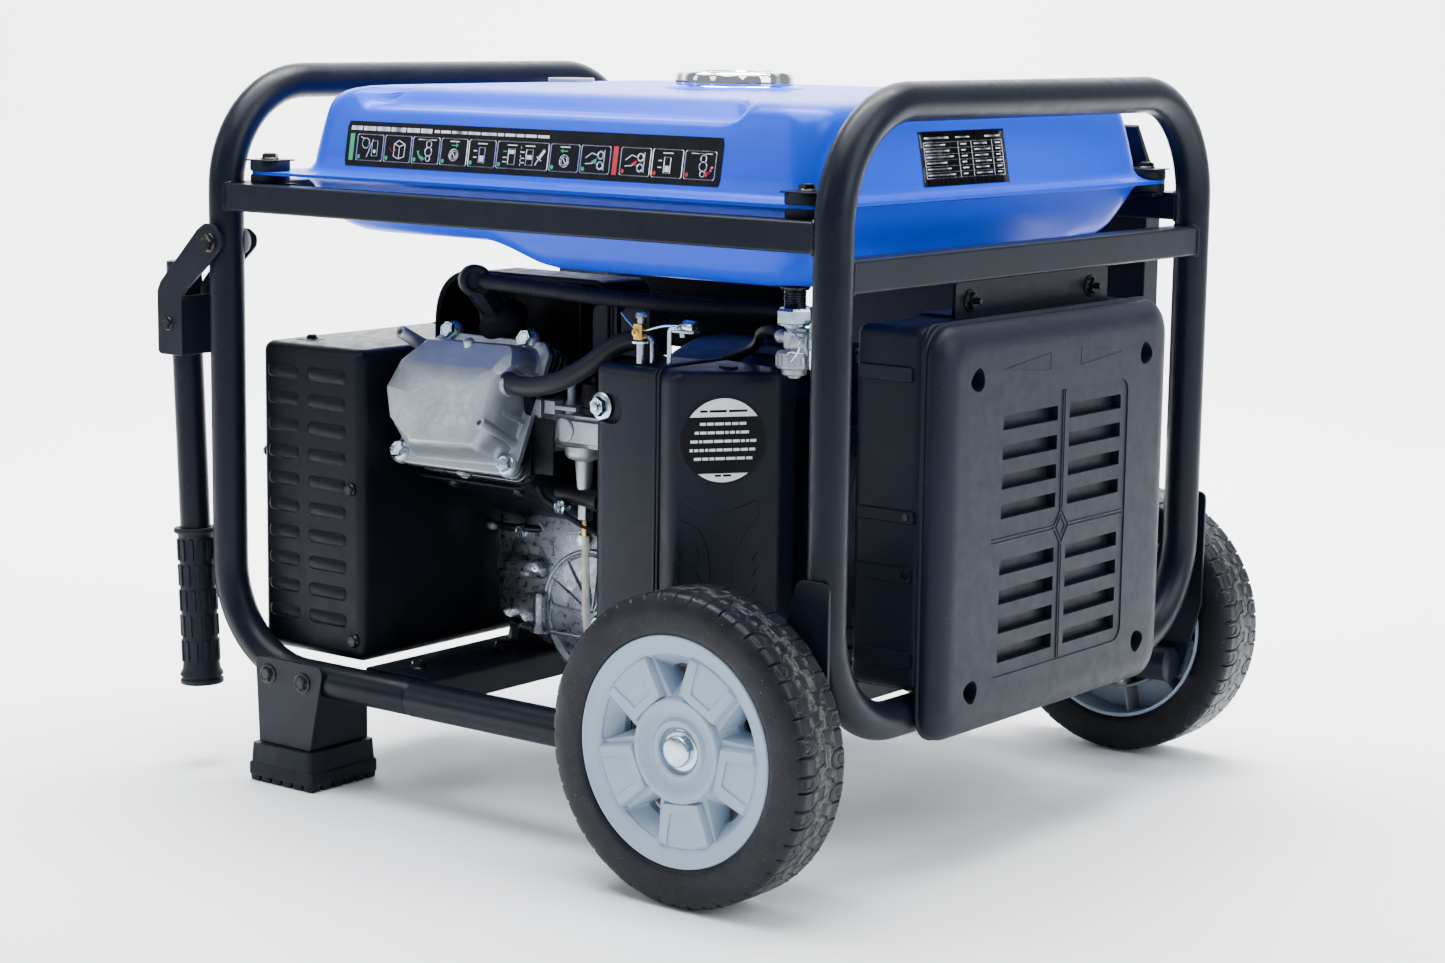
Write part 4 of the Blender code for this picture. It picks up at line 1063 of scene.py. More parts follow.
def bar(u0, v0, u1, v1):
    return [(u0, v0), (u1, v0), (u1, v1), (u0, v1)]


def line(u0, v0, u1, v1, w):
    d = Vector((u1 - u0, v1 - v0))
    n = Vector((-d.y, d.x)).normalized() * (w / 2)
    return [(u0 - n.x, v0 - n.y), (u1 - n.x, v1 - n.y), (u1 + n.x, v1 + n.y), (u0 + n.x, v0 + n.y)]


def frame_of(u0, v0, u1, v1, w, r=0.0):
    if r <= 0:
        return [bar(u0, v0, u1, v0 + w), bar(u0, v1 - w, u1, v1), bar(u0, v0 + w, u0 + w, v1 - w),
            bar(u1 - w, v0 + w, u1, v1 - w)]
    outer, inner = (rr(u0, u1, v0, v1, r, 4), rr(u0 + w, u1 - w, v0 + w, v1 - w, max(0.1, r - w),
        4))
    n = len(outer)
    return [[outer[i], outer[(i + 1) % n], inner[(i + 1) % n], inner[i]] for i in range(n)]


def ring_of(cx, cy, r, w, n=20, start=0, stop=360):
    out = []
    for k in range(n):
        a, b = (math.radians(start + (stop - start) * j / n) for j in (k, k + 1))
        out.append([(cx + r * math.cos(a), cy + r * math.sin(a)),
            (cx + r * math.cos(b), cy + r * math.sin(b)), (cx + (r - w) * math.cos(b),
            cy + (r - w) * math.sin(b)), (cx + (r - w) * math.cos(a), cy + (r - w) * math.sin(a))])
    return out


def build_front_label():
    x_left, z_low = -188.0, 530.0

    def place(u, v, lift):
        z = z_low + v
        x = x_left + u
        return (x, front_wall(x, z) - lift, z + lift * 0.3)

    wide, tall = 397.0, 36.8
    base = bmesh.new()
    rows = []
    for j in range(9):
        v = tall * j / 8
        pull = 1.8 * max(0.0, abs(v - tall / 2) - tall / 2 + 2.2) / 2.2
        rows.append([base.verts.new(place(pull + (wide - 2 * pull) * k / 90, v, 0.25))
            for k in range(91)])
    for a, b in zip(rows, rows[1:]):
        for k in range(90):
            base.faces.new((a[k], a[k + 1], b[k + 1], b[k]))
    back = bmesh.ops.extrude_face_region(base, geom=list(base.faces))
    bmesh.ops.translate(base, vec=(0, 0.5, 0), verts=[g for g in back["geom"]
        if isinstance(g, bmesh.types.BMVert)])
    put("label_front", base, "film", sharp=40)
    white, green, red = [], [], []
    cells = [22, 22, 22, 21, 21, 44, 22, 22, 22, 22, 22]
    u, top, low = 12.5, 26.6, 4.6
    random.seed(5)
    for u0, u1, half in ((4.5, 96, 1.7), (99, 224, 1.1)):
        while u0 < u1 - 3:
            step = min(random.uniform(5, 17), u1 - u0)
            white.append(bar(u0, 31.2 - half, u0 + step, 31.2 + half))
            u0 += step + 1.6
    green.append(bar(4.4, low, 9.2, top))
    for n, w in enumerate(cells):
        if n == 8:
            red.append(bar(u + 1.2, low, u + 6.0, top))
            u += 8.6
        w = (w + 5.2) * 1.116
        u0, u1 = u, u + w
        u = u1 + 1.4
        white += frame_of(u0, low, u1, top, 0.65, 2.0)
        mid, cy = (u0 + u1) / 2, (low + top) / 2
        (red if n >= 8 else green).append(disc(u0 + 3.2, low + 3.3, 1.7, 14))
        if n == 0:
            white += ring_of(mid - 5, cy + 3.5, 4.4, 0.6) + frame_of(mid + 2.2, cy - 7, mid + 9,
                cy + 6, 0.6, 1.2)
            white += [line(mid - 3, cy - 8, mid + 3.4, cy + 7, 0.5),
                disc(mid + 5.6, cy - 3, 1.5, 10), line(mid - 11, cy + 8.3, mid - 6, cy + 7, 0.6)]
        elif n == 1:
            white += [line(*p, 0.55) for p in ((mid - 4, cy + 4, mid - 4, cy - 6),
                (mid - 4, cy - 6, mid + 2, cy - 8), (mid + 2, cy - 8, mid + 2, cy + 2),
                (mid + 2, cy + 2, mid - 4, cy + 4), (mid + 2, cy - 8, mid + 8, cy - 6),
                (mid + 8, cy - 6, mid + 8, cy + 4), (mid + 8, cy + 4, mid + 2, cy + 2),
                (mid - 4, cy + 4, mid + 1, cy + 7), (mid + 1, cy + 7, mid + 8, cy + 4))]
            red += ring_of(mid - 5, cy + 1.5, 4.2, 0.7, 10, 190, 330)
        elif n == 2 or n == 10:
            white += ring_of(mid + 3, cy + 5, 3.1, 0.7) + ring_of(mid + 3, cy - 1, 4.0, 0.7)
            white += ring_of(mid + 3, cy - 6.4, 2.6, 0.7) + [bar(mid - 9, cy + 8.4, mid + 11,
                cy + 9)]
            side = -1 if n == 2 else 1
            tone = green if n == 2 else red
            cx = mid + (-1.5 if n == 2 else 5)
            tone += ring_of(cx, cy, 8.0, 2.1, 8, *((185, 250) if side < 0 else (290, 355)))
            tip = math.radians(250 if side < 0 else 290)
            tx, ty = cx + 7 * math.cos(tip), cy + 7 * math.sin(tip)
            tone.append([(tx, ty + 2.2), (tx, ty - 2.4), (tx - side * 3.4, ty - 0.4)])
        elif n in (3, 6):
            white += ring_of(mid, cy - 2.4, 5.0, 0.7) + ring_of(mid, cy - 2.4, 3.4, 0.5)
            white += [line(mid - 2, cy + 0.4, mid + 2.2, cy - 5.4, 0.8)]
            white.append(bar(mid - 5, cy + 8, mid + 5, cy + 8.8))
            k = 1 if n == 3 else -1
            green.append(bar(mid - 3, cy + 4.9, mid + 3, cy + 5.7))
            green.append([(mid + 4.6 * k, cy + 5.3), (mid + 2 * k, cy + 6.9),
                (mid + 2 * k, cy + 3.7)][::k])
        elif n in (4, 9):
            white += frame_of(mid - 3.4, cy - 7.6, mid + 3.4, cy + 5.0, 0.6, 0.9)
            white.append(bar(mid - 2.2, cy - 6.4, mid + 2.2, cy - 1.8))
            white.append(bar(mid - 5, cy + 7.4, mid + 5, cy + 8.2))
            for dz in (1.6, -3.6):
                white.append(bar(mid - 9, cy + dz, mid - 5.5, cy + dz + 0.8))
        elif n == 5:
            for k, off in enumerate((-11.5, 7.5)):
                white += frame_of(mid + off - 3.8, cy - 7.6, mid + off + 3.8, cy + 5.2, 0.6, 0.9)
                white.append(bar(mid + off - 2.6, cy + (1.0 if not k else -2.6), mid + off + 2.6,
                    cy + (4.0 if not k else 0.6)))
                white.append(bar(mid + off - 5, cy + 7.4, mid + off + 5, cy + 8.2))
                (green if k == 0 else white).append(bar(mid + off - 9, cy + 2.4, mid + off - 5.2,
                    cy + 3.1))
                white.append(bar(mid + off - 9, cy - 2.4, mid + off - 5.2, cy - 1.7))
                white.append(bar(mid + off - 9, cy - 5.8, mid + off - 5.2, cy - 5.1))
            for k in range(5):
                white.append(bar(mid - 2.2, cy - 8 + 3.4 * k, mid - 1.7, cy - 6.4 + 3.4 * k))
            white += [line(mid + 14, cy - 7, mid + 18, cy - 1, 0.8),
                line(mid + 18, cy - 1, mid + 23, cy + 5, 2.4),
                line(mid + 15.4, cy - 0.4, mid + 20.2, cy - 3.4, 0.8)]
        else:
            white += ring_of(mid + 5, cy + 3.6, 3.4, 1.2) + ring_of(mid + 5, cy - 4.4, 3.4, 1.2)
            white += [line(mid - 10, cy + 1, mid - 4, cy + 5, 0.6),
                line(mid - 4, cy + 5, mid + 2, cy + 3.5, 0.6),
                line(mid - 10, cy - 3.5, mid - 3, cy - 3, 0.6),
                line(mid - 3, cy - 3, mid + 1, cy + 0.6, 0.6),
                line(mid + 8.8, cy + 7.6, mid + 8.8, cy - 8, 0.5)]
            (green if n == 7 else red).append([(mid - 4, cy - 1.6), (mid + 1.6, cy + 1.2),
                (mid + 0.6, cy - 3.4)])
    film("label_front_lines", white, "white", place, 0.5)
    film("label_front_green", green, "green", place, 0.55)
    film("label_front_red", red, "red", place, 0.6)


def build_side_labels():
    def place(u, v, lift):
        z = 529.0 + v
        return (side_wall(z) + lift, u, z + lift * 0.4)

    film("label_plate", [bar(-101, 7 * k, 21, 7 * (k + 1)) for k in range(6)], "film", place, 0.3)
    marks = [bar(-94, 36.2, -60, 37.6), bar(-50, 36.4, -30, 37.3), bar(-8, 36.2, 14, 37.4)]
    for k in range(6):
        z = 31 - 4.6 * k
        marks += [bar(-94, z, -66 + 5 * (k % 3), z + 0.9), bar(-44, z, -36 - 2 * (k % 2), z + 0.9),
            bar(-25, z, -6 + 4 * (k % 2), z + 0.9), bar(6, z, 14 - k % 3, z + 0.9)]
    for z in (33.4, 28.8, 24.2, 19.6, 15.0, 10.4, 5.8):
        marks.append(bar(-96, z, 16, z + 0.28))
    for y in (-96, -48, -29, 1, 15.7):
        marks.append(bar(y, 5.8, y + 0.35, 33.6))
    film("label_plate_lines", marks, "white", place, 0.6)
    film("label_tap", [bar(-214, 4 + 8 * k, -187, 12 + 8 * k) for k in range(4)], "film", place,
        0.3)
    spots = frame_of(-212.5, 5.4, -188.5, 34.6, 0.7, 1.5) + ring_of(-199, 26, 5.4,
        1.0) + ring_of(-199, 20, 3.6, 0.9) + [line(-209, 9.5, -197, 28, 1.3),
        bar(-196, 8.6, -190, 9.8), bar(-196, 12, -191, 13.2), line(-203, 12, -203, 22, 1.0)]
    film("label_tap_lines", spots, "white", place, 0.6)


# ------------------------------------------------------------------ muffler guard
def pad(w, h, r, tall, soft=2.0):
    """A pressed pad with soft shoulders, standing on z = 0."""
    loops = []
    for k in range(6):
        t = k / 5
        inset = soft * (t - math.sin(2 * PI * t) / (2 * PI) * 0.5)
        loops.append([(x, y, tall * ramp01(t)) for x, y in rr(-w / 2 + inset, w / 2 - inset,
            -h / 2 + inset, h / 2 - inset, max(0.4, r - inset), 5)])
    return loft([[(x, y, -1.0) for x, y, _ in loops[0]]] + loops)


def build_guard():
    x0, x1, y0, y1, z0, z1 = -281.0, -160.0, -249.8, -40.0, 110.0, 377.0
    shell = put("guard_shell", block((x0, y0 + 0.6, z0), (x1, y1, z1)), "sheet",
        nodes=("muffler_guard",))
    mod = shell.modifiers.new("round", "BEVEL")
    mod.width, mod.segments, mod.limit_method = 9 * MM, 7, "NONE"
    hollow = block((x0 + 2, y0 + 3, z0 + 2), (x1 - 2, y1 + 30, z1 - 2))
    bmesh.ops.bevel(hollow, geom=list(hollow.edges), offset=7.5, segments=5, affect="EDGES",
        profile=0.5)
    graph = bpy.context.evaluated_depsgraph_get()
    shell.data = bpy.data.meshes.new_from_object(shell.evaluated_get(graph))
    shell.modifiers.clear()
    cut(shell, hollow)
    pads = []
    for row in range(10):
        for cx, w in ((-253.5, 37.5), (-202.0, 46.0)):
            z = 352.5 - row * 23.2
            pads.append(aim(pad(w, 12.6, 5.2, 1.5, 2.4), (cx, y0 + 0.75, z), (0, -1, 0)))
    put("guard_pads", join(*pads), "sheet", sharp=60)
    # pressed louvres on the far side and a seam flange round the opening
    fins = [aim(pad(150, 12, 5, 1.4, 2.4), (x0 + 0.4, -145, z), (-1, 0, 0), PI / 2)
        for z in range(150, 350, 28)]
    put("guard_side_pads", join(*fins), "sheet", sharp=60)
    outer = rr(x0 + 0.5, x1 - 0.5, z0 + 0.5, z1 - 0.5, 9, 6)
    lip = sweep([(x, y1 - 0.6, z) for x, z in outer], 1.3, 8, True)
    put("guard_lip", lip, "sheet")
    for name, at, axis in (("a", (-254, -214, 377.4), (0, 0, 1)),
            ("c", (-173, y0 - 0.6, 258), (0, -1, 0)), ("d", (-170, y0 - 0.6, 128), (0, -1, 0)),
            ("b", (-281.6, -240, 280), (-1, 0, 0))):
        bolt("guard_bolt_" + name, at, axis, 5.4, "boltblack", length=6)
    put("guard_tab", block((-262, -226, 374), (-244, -206, 377.6)), "sheet", bevel=1.2)


# ------------------------------------------------------------------ inverter cover
def build_cover():
    ys, zs, zc = 172.0, 161.0, 269.0
    loops = []
    for x, iny, r in ((348.6, 3.4, 20), (350.2, 0.9, 24), (350.9, 0.1, 25), (352.4, 0.0, 25),
            (353.2, 0.6, 25), (353.8, 1.9, 24), (354.6, 1.9, 24), (355.4, 0.9, 25),
            (357.5, 0.7, 25), (360.5, 1.4, 25), (363.6, 3.0, 24), (366.6, 5.6, 23),
            (369.2, 9.2, 21.5), (371.0, 13.4, 20), (371.8, 17.6, 19), (372.0, 22.0, 18)):
        loops.append([(x, y, z + zc) for y, z in rr(-ys + iny, ys - iny, -zs + iny, zs - iny, r,
            10)])
    cover = put("cover_face", loft(loops), "cover", nodes=("vent_cover",), sharp=30)
    rows = (350.8, 327.6, 304.4, 281.2, 236.8, 213.6, 190.4, 167.2)
    tools = [loft([[(x, y, z) for y, z in rr(-103, 100, 150.5, 370, 12, 5)]
        for x in (371.0, 376.0)])]
    tools += [join(*[block((362.5, y0, z - 5.8), (376, y1, z + 5.8)) for z in rows
        for y0, y1 in ((-88, -8), (10, 90))])]
    holes = []
    for y in (-125, 126):
        for z in (146, 386):
            inward = 1 if y < 0 else -1
            shape = disc(y, z, 7.6, 28)
            lean = 1 if z < 269 else -1
            shape = [(a + 4.0 * max(0.0, (a - y) * -inward / 7.6) ** 2 * -inward,
                b - lean * 3.2 * max(0.0, (b - z) * -lean / 7.6) ** 2) for a, b in shape]
            holes.append(loft([[(x, a, b) for a, b in shape] for x in (356.0, 377.0)]))
    tools.append(join(*holes))
    cut(cover, *tools)
    mod = cover.modifiers.new("edges", "BEVEL")
    mod.width, mod.segments, mod.limit_method, mod.angle_limit = (0.5 * MM, 2, "ANGLE",
        math.radians(50))
    mod.harden_normals = True
    # raised double line with a diamond in the middle, and the cross line
    x = 371.0
    d, c = 11.5, 258.8
    bars = []
    for y in (-0.2, 2.6):
        for z0, z1 in ((151.5, c - d - (2 if y < 0 else 0)), (c + d, 369)):
            bars.append(block((x - 0.4, y - 0.75, z0), (x + 0.85, y + 0.75, z1)))
    for y0, y1 in ((-102.5, 1.2 - d + 1.5), (1.2 + d - 1.5, 99.5)):
        for z in (c - 1.5, c + 1.3):
            bars.append(block((x - 0.4, min(y0, y1), z - 0.6), (x + 0.8, max(y0, y1), z + 0.6)))
    for r0, r1 in ((5.6, 7.6), (10.4, 12.0)):
        n = 4
        outer = [(1.2 + r1 * math.cos(PI / 2 * k), c + 1.28 * r1 * math.sin(PI / 2 * k))
            for k in range(n)]
        inner = [(1.2 + r0 * math.cos(PI / 2 * k), c + 1.28 * r0 * math.sin(PI / 2 * k))
            for k in range(n)]
        for k in range(n):
            m = (k + 1) % n
            bars.append(loft([[(xx, *outer[k]), (xx, *outer[m]), (xx, *inner[m]), (xx, *inner[k])]
                for xx in (x - 0.4, x + 0.85)]))
    put("cover_lines", join(*bars), "cover", bevel=0.35)
    # two plain wedge outlines above the vents
    wedge = []
    for s, yc in ((-1, -22.0), (1, 24.0)):
        tip, up, down = (yc + s * 68, 392.5), (yc, 400.0), (yc, 386.5)
        wedge += [sweep([(371.9, *a), (371.9, *b)], 0.42, 6) for a, b in ((tip, up), (tip, down),
            (up, down))]
    put("cover_wedges", join(*wedge), "cover")
    for y in (-125, 126):
        for z in (146, 386):
            screw = aim(lathe([(0, 1.6), (3.6, 1.4), (4.9, 0.4), (5.2, -1), (0, -1)], 24),
                (358.4, y, z), (1, 0, 0))
            put("cover_screw_%d_%d" % (y + 200, z), screw, "boltblack")
    # housing behind the cover
    housing = block((284, -166, 147), (349.4, 166, 428))
    bmesh.ops.bevel(housing, geom=list(housing.edges), offset=9, segments=6, affect="EDGES",
        profile=0.5)
    body = put("housing_box", housing, "cover", nodes=("inverter_housing",), sharp=40)
    cut(body, aim(lathe([(0, -20), (95, -20), (95, 30), (0, 30)], 72), (284, -10, 250), (1, 0, 0)))
    ribs = []
    for s in (-1, 1):
        for z, x0, x1, h in ((392, 290, 340, 13), (283, 290, 344, 11), (238, 290, 342, 13),
                (172, 290, 344, 13)):
            ribs.append(aim(pad(x1 - x0, h, 3.0, 2.4, 1.2), ((x0 + x1) / 2, s * 165.7, z),
                (0, s, 0)))
    put("housing_bars", join(*ribs), "cover")
    holes = [aim(lathe([(0, 0.9), (2.6, 0.9), (3.1, 0.2), (3.1, -1), (0, -1)], 20),
        (336, -168.2, z), (0, -1, 0)) for z in (283, 238)]
    put("housing_screws", join(*holes), "boltblack")
    rim = [(349.0, y, z) for y, z in rr(-167, 167, 146, 429, 14, 8)]
    put("housing_rim", sweep(rim, 2.0, 10, True), "cover")
    # hanger plate at the top
    shape = rounded([(-90, 424), (140, 424), (140, 456), (-90, 456)], [1, 1, 3, 3], 3)
    put("hanger_plate", prism(shape, 322, 325.5, "YZ"), "frame", bevel=0.7)
    put("hanger_foot", block((290, -88, 427), (324, 138, 430.5)), "frame", bevel=0.8)
    for k, (y, z) in enumerate(((-69, 441), (112, 441))):
        bolt("hanger_bolt_%d" % k, (325.7, y, z), (1, 0, 0), 7, "boltblack", washer=True, length=6)
        put("hanger_stud_%d" % k, aim(lathe([(2.6, 0), (2.6, 9), (2.0, 10), (0, 10)], 16),
            (325.7, y, z), (1, 0, 0)), "boltblack")


build_tank()
build_front_label()
build_side_labels()
build_guard()
build_cover()


# ------------------------------------------------------------------ engine
CYL = Matrix.Translation((-80, -10, 250)) @ Matrix.Rotation(math.radians(65), 4, "X")


def cyl(x, y, w):
    return tuple(CYL @ Vector((x, y, w)))


def cyl_axis(x, y, w):
    return tuple(CYL.to_3x3() @ Vector((x, y, w)))


def build_rocker_cover():
    # every loop has eight rounded corners, so that they join one to one
    stack = [([(-54, 57), (60, 56), (68, 46), (69, -48), (58, -60), (-54, -61), (-66, -50),
        (-65, 46)], 8, [205, 205]), ([(-54, 57), (60, 56), (68, 46), (69, -48), (58, -60),
        (-54, -61), (-66, -50), (-65, 46)], 8, [209.6, 209.6]),
        ([(-53, 56), (59, 55), (67, 45), (68, -47), (57, -59), (-53, -60), (-65, -49), (-64, 45)],
        8, [210.4, 210.4]), ([(-49, 50), (54, 50), (63, 38), (63, -40), (52, -53), (-44, -56),
        (-61, -40), (-60, 36)], 9, [210.8, 210.8]), ([(-47, 48), (53, 48.5), (61, 36), (61, -38),
        (50.5, -52), (-42, -55), (-59.5, -38), (-59, 33)], 9, [212.4, 212.4]),
        ([(-45, 46), (52, 47), (60, 33), (60, -37), (50, -51), (-38, -54), (-59, -36), (-59, 30)],
        9, [222, 222]), ([(-42, 43), (52, 44.5), (58.5, 28), (58.5, -36), (49.5, -50.5),
        (-32, -53.5), (-57.5, -33), (-59, 25)], 9, [233, 233]),
        ([(-43, 40), (51.5, 41.5), (57, 24), (57.5, -35), (49, -50), (-28, -53), (-55, -30),
        (-60, 20)], 8, [238, 238]), ([(-50, 28), (48, 30), (53, 16), (54.5, -35), (47.5, -48.5),
        (-23, -51.5), (-51, -29), (-61.5, 5)], 5, [243.5, 244.5]),
        ([(-56, 18.5), (44.5, 19), (49, 12), (52, -34), (45.5, -47), (-20.5, -50), (-48, -33),
        (-61, -8)], 3.5, [246.2, 247]), ([(-55, 17.5), (43.5, 18), (47.8, 11.2), (50.8, -34),
        (45, -46), (-20, -49), (-47.2, -33), (-60, -8)], 3.0, [246.6, 247.6])]
    loops = []
    for pts, r, ws in stack:
        base = rounded(pts, r, 4)
        loop = []
        for x, y in base:
            w = ws[0] + (ws[1] - ws[0]) * ramp01((60 - x) / 120)
            if ws[0] > 240:
                w += 2.2 - abs(y + 15) * 0.09
            loop.append((x, y, w))
        loops.append(loop)
    mid = [(x * 0.5, -15 + (y + 15) * 0.5, 249.3 - abs((y + 15) * 0.5) * 0.06)
        for x, y, _ in loops[-1]]
    cover = moved(loft(loops + [mid]), CYL)
    put("rocker_casting", cover, "diecast", nodes=("rocker_cover",), bevel=0.9, seg=3, sharp=44)
    parts = []
    # ears and bosses for the four bolts
    for x, y in ((-46, 57), (40.5, 56.2), (59, -51.5), (-61, -51.5)):
        ear = lathe([(0, 205.2), (10.2, 205.2), (10.2, 209.8), (9.4, 211.2), (8.6, 212), (0, 212)],
            36)
        parts.append(moved(ear, CYL @ Matrix.Translation((x, y, 0))))
    # two threaded stand-offs and a small peg
    for x, y, tx, ty, top in ((-60, 38, -64, 41, 250), (56, -33, 53, -29, 251)):
        a, b = Vector(cyl(x, y, 208)), Vector(cyl(tx, ty, top))
        axis = b - a
        n = axis.length
        post = lathe([(0, 0), (8.6, 0), (6.6, 7), (5.8, 20), (5.4, n - 1.0), (4.8, n), (2.7, n),
            (2.4, n - 1), (2.4, n - 6), (0, n - 6)], 32)
        parts.append(aim(post, a, axis))
    a = Vector(cyl(4, 34, 232))
    parts.append(aim(lathe([(0, -4), (7.5, -4), (5.6, 2), (4.8, 8), (4.2, 11.4), (2.6, 12.4),
        (0, 12.6)], 28), a, cyl_axis(0, 0.75, 0.66)))
    # hose spigot and ribs on the right-hand wall
    parts.append(aim(lathe([(0, -8), (9.6, -8), (9.4, 2), (8.6, 4), (0, 4)], 32), cyl(57, 9, 234),
        cyl_axis(1, 0, 0.25)))
    for y in (-14, 26):
        rib = rounded([(58, 207), (64.5, 207), (64, 214), (58.5, 238)], [0, 1, 2, 1], 3)
        parts.append(moved(loft([[(x, y + t, w) for x, w in rib] for t in (-2.0, 2.0)]), CYL))
    # low oval relief in place of any lettering
    parts.append(moved(sweep([(-34 + 12 * math.cos(t), 2 + 11 * math.sin(t),
        247.9 - 0.09 * abs(17 + 11 * math.sin(t)) + 1.0) for t in (2 * PI * k / 40
        for k in range(40))], 0.8, 8, True), CYL))
    put("rocker_bosses", join(*parts), "diecast", bevel=0.4, sharp=44)
    for k, (x, y) in enumerate(((-46, 57), (40.5, 56.2), (59, -51.5), (-61, -51.5))):
        bolt("rocker_bolt_%d" % k, cyl(x, y, 212), cyl_axis(0, 0, 1), 8.2, "zinc", length=9)
    put("rocker_gasket", moved(prism(rounded([(-55, 58), (61, 57), (69, 46), (70, -48), (58, -61),
        (-55, -62), (-67, -50), (-66, 46)], 8, 4), 203.6, 205.1, "XY"), CYL), "dark")
    bolt("head_drain_bolt", cyl(6, -59, 199), cyl_axis(0, -1, 0), 7.4, "alloy", length=4,
        flange=False)


def build_cylinder():
    core = prism(rr(-52, 54, -52, 50, 10, 5), 158, 204, "XY")
    fins = [prism(rr(-59.5, 60, -58.5, 58.5, 9, 5), w, w + 2.4, "XY") for w in range(162, 200, 7)]
    fins.append(prism(rr(-60, 61, -59, 58.5, 9, 5), 199.5, 203.8, "XY"))
    put("head_fins", moved(join(core, *fins), CYL), "alloy", nodes=("cylinder_head",), bevel=0.5)
    # sheet cowl round the barrel, open towards the head
    cowl = loft([[(x * k, y * k, w) for x, y in rr(-64, 66, -62, 60, 16, 6)]
        for k, w in ((0.93, 62), (0.99, 70), (1.0, 90), (1.0, 176), (1.035, 181), (1.04, 184),
        (1.01, 184), (0.97, 178), (0.96, 90))], True, True)
    put("barrel_cowl", moved(cowl, CYL), "sheet", sharp=40)
    lip = [tuple(CYL @ Vector((x, y, 184))) for x, y in rr(-66, 68, -64, 62, 16, 8)]
    put("barrel_cowl_lip", sweep(lip, 1.5, 10, True), "sheet")
    for k, (x, y) in enumerate(((-30, -63), (42, -63))):
        bolt("cowl_bolt_%d" % k, cyl(x, y, 168), cyl_axis(0, -1, 0), 5, "boltblack", length=3)


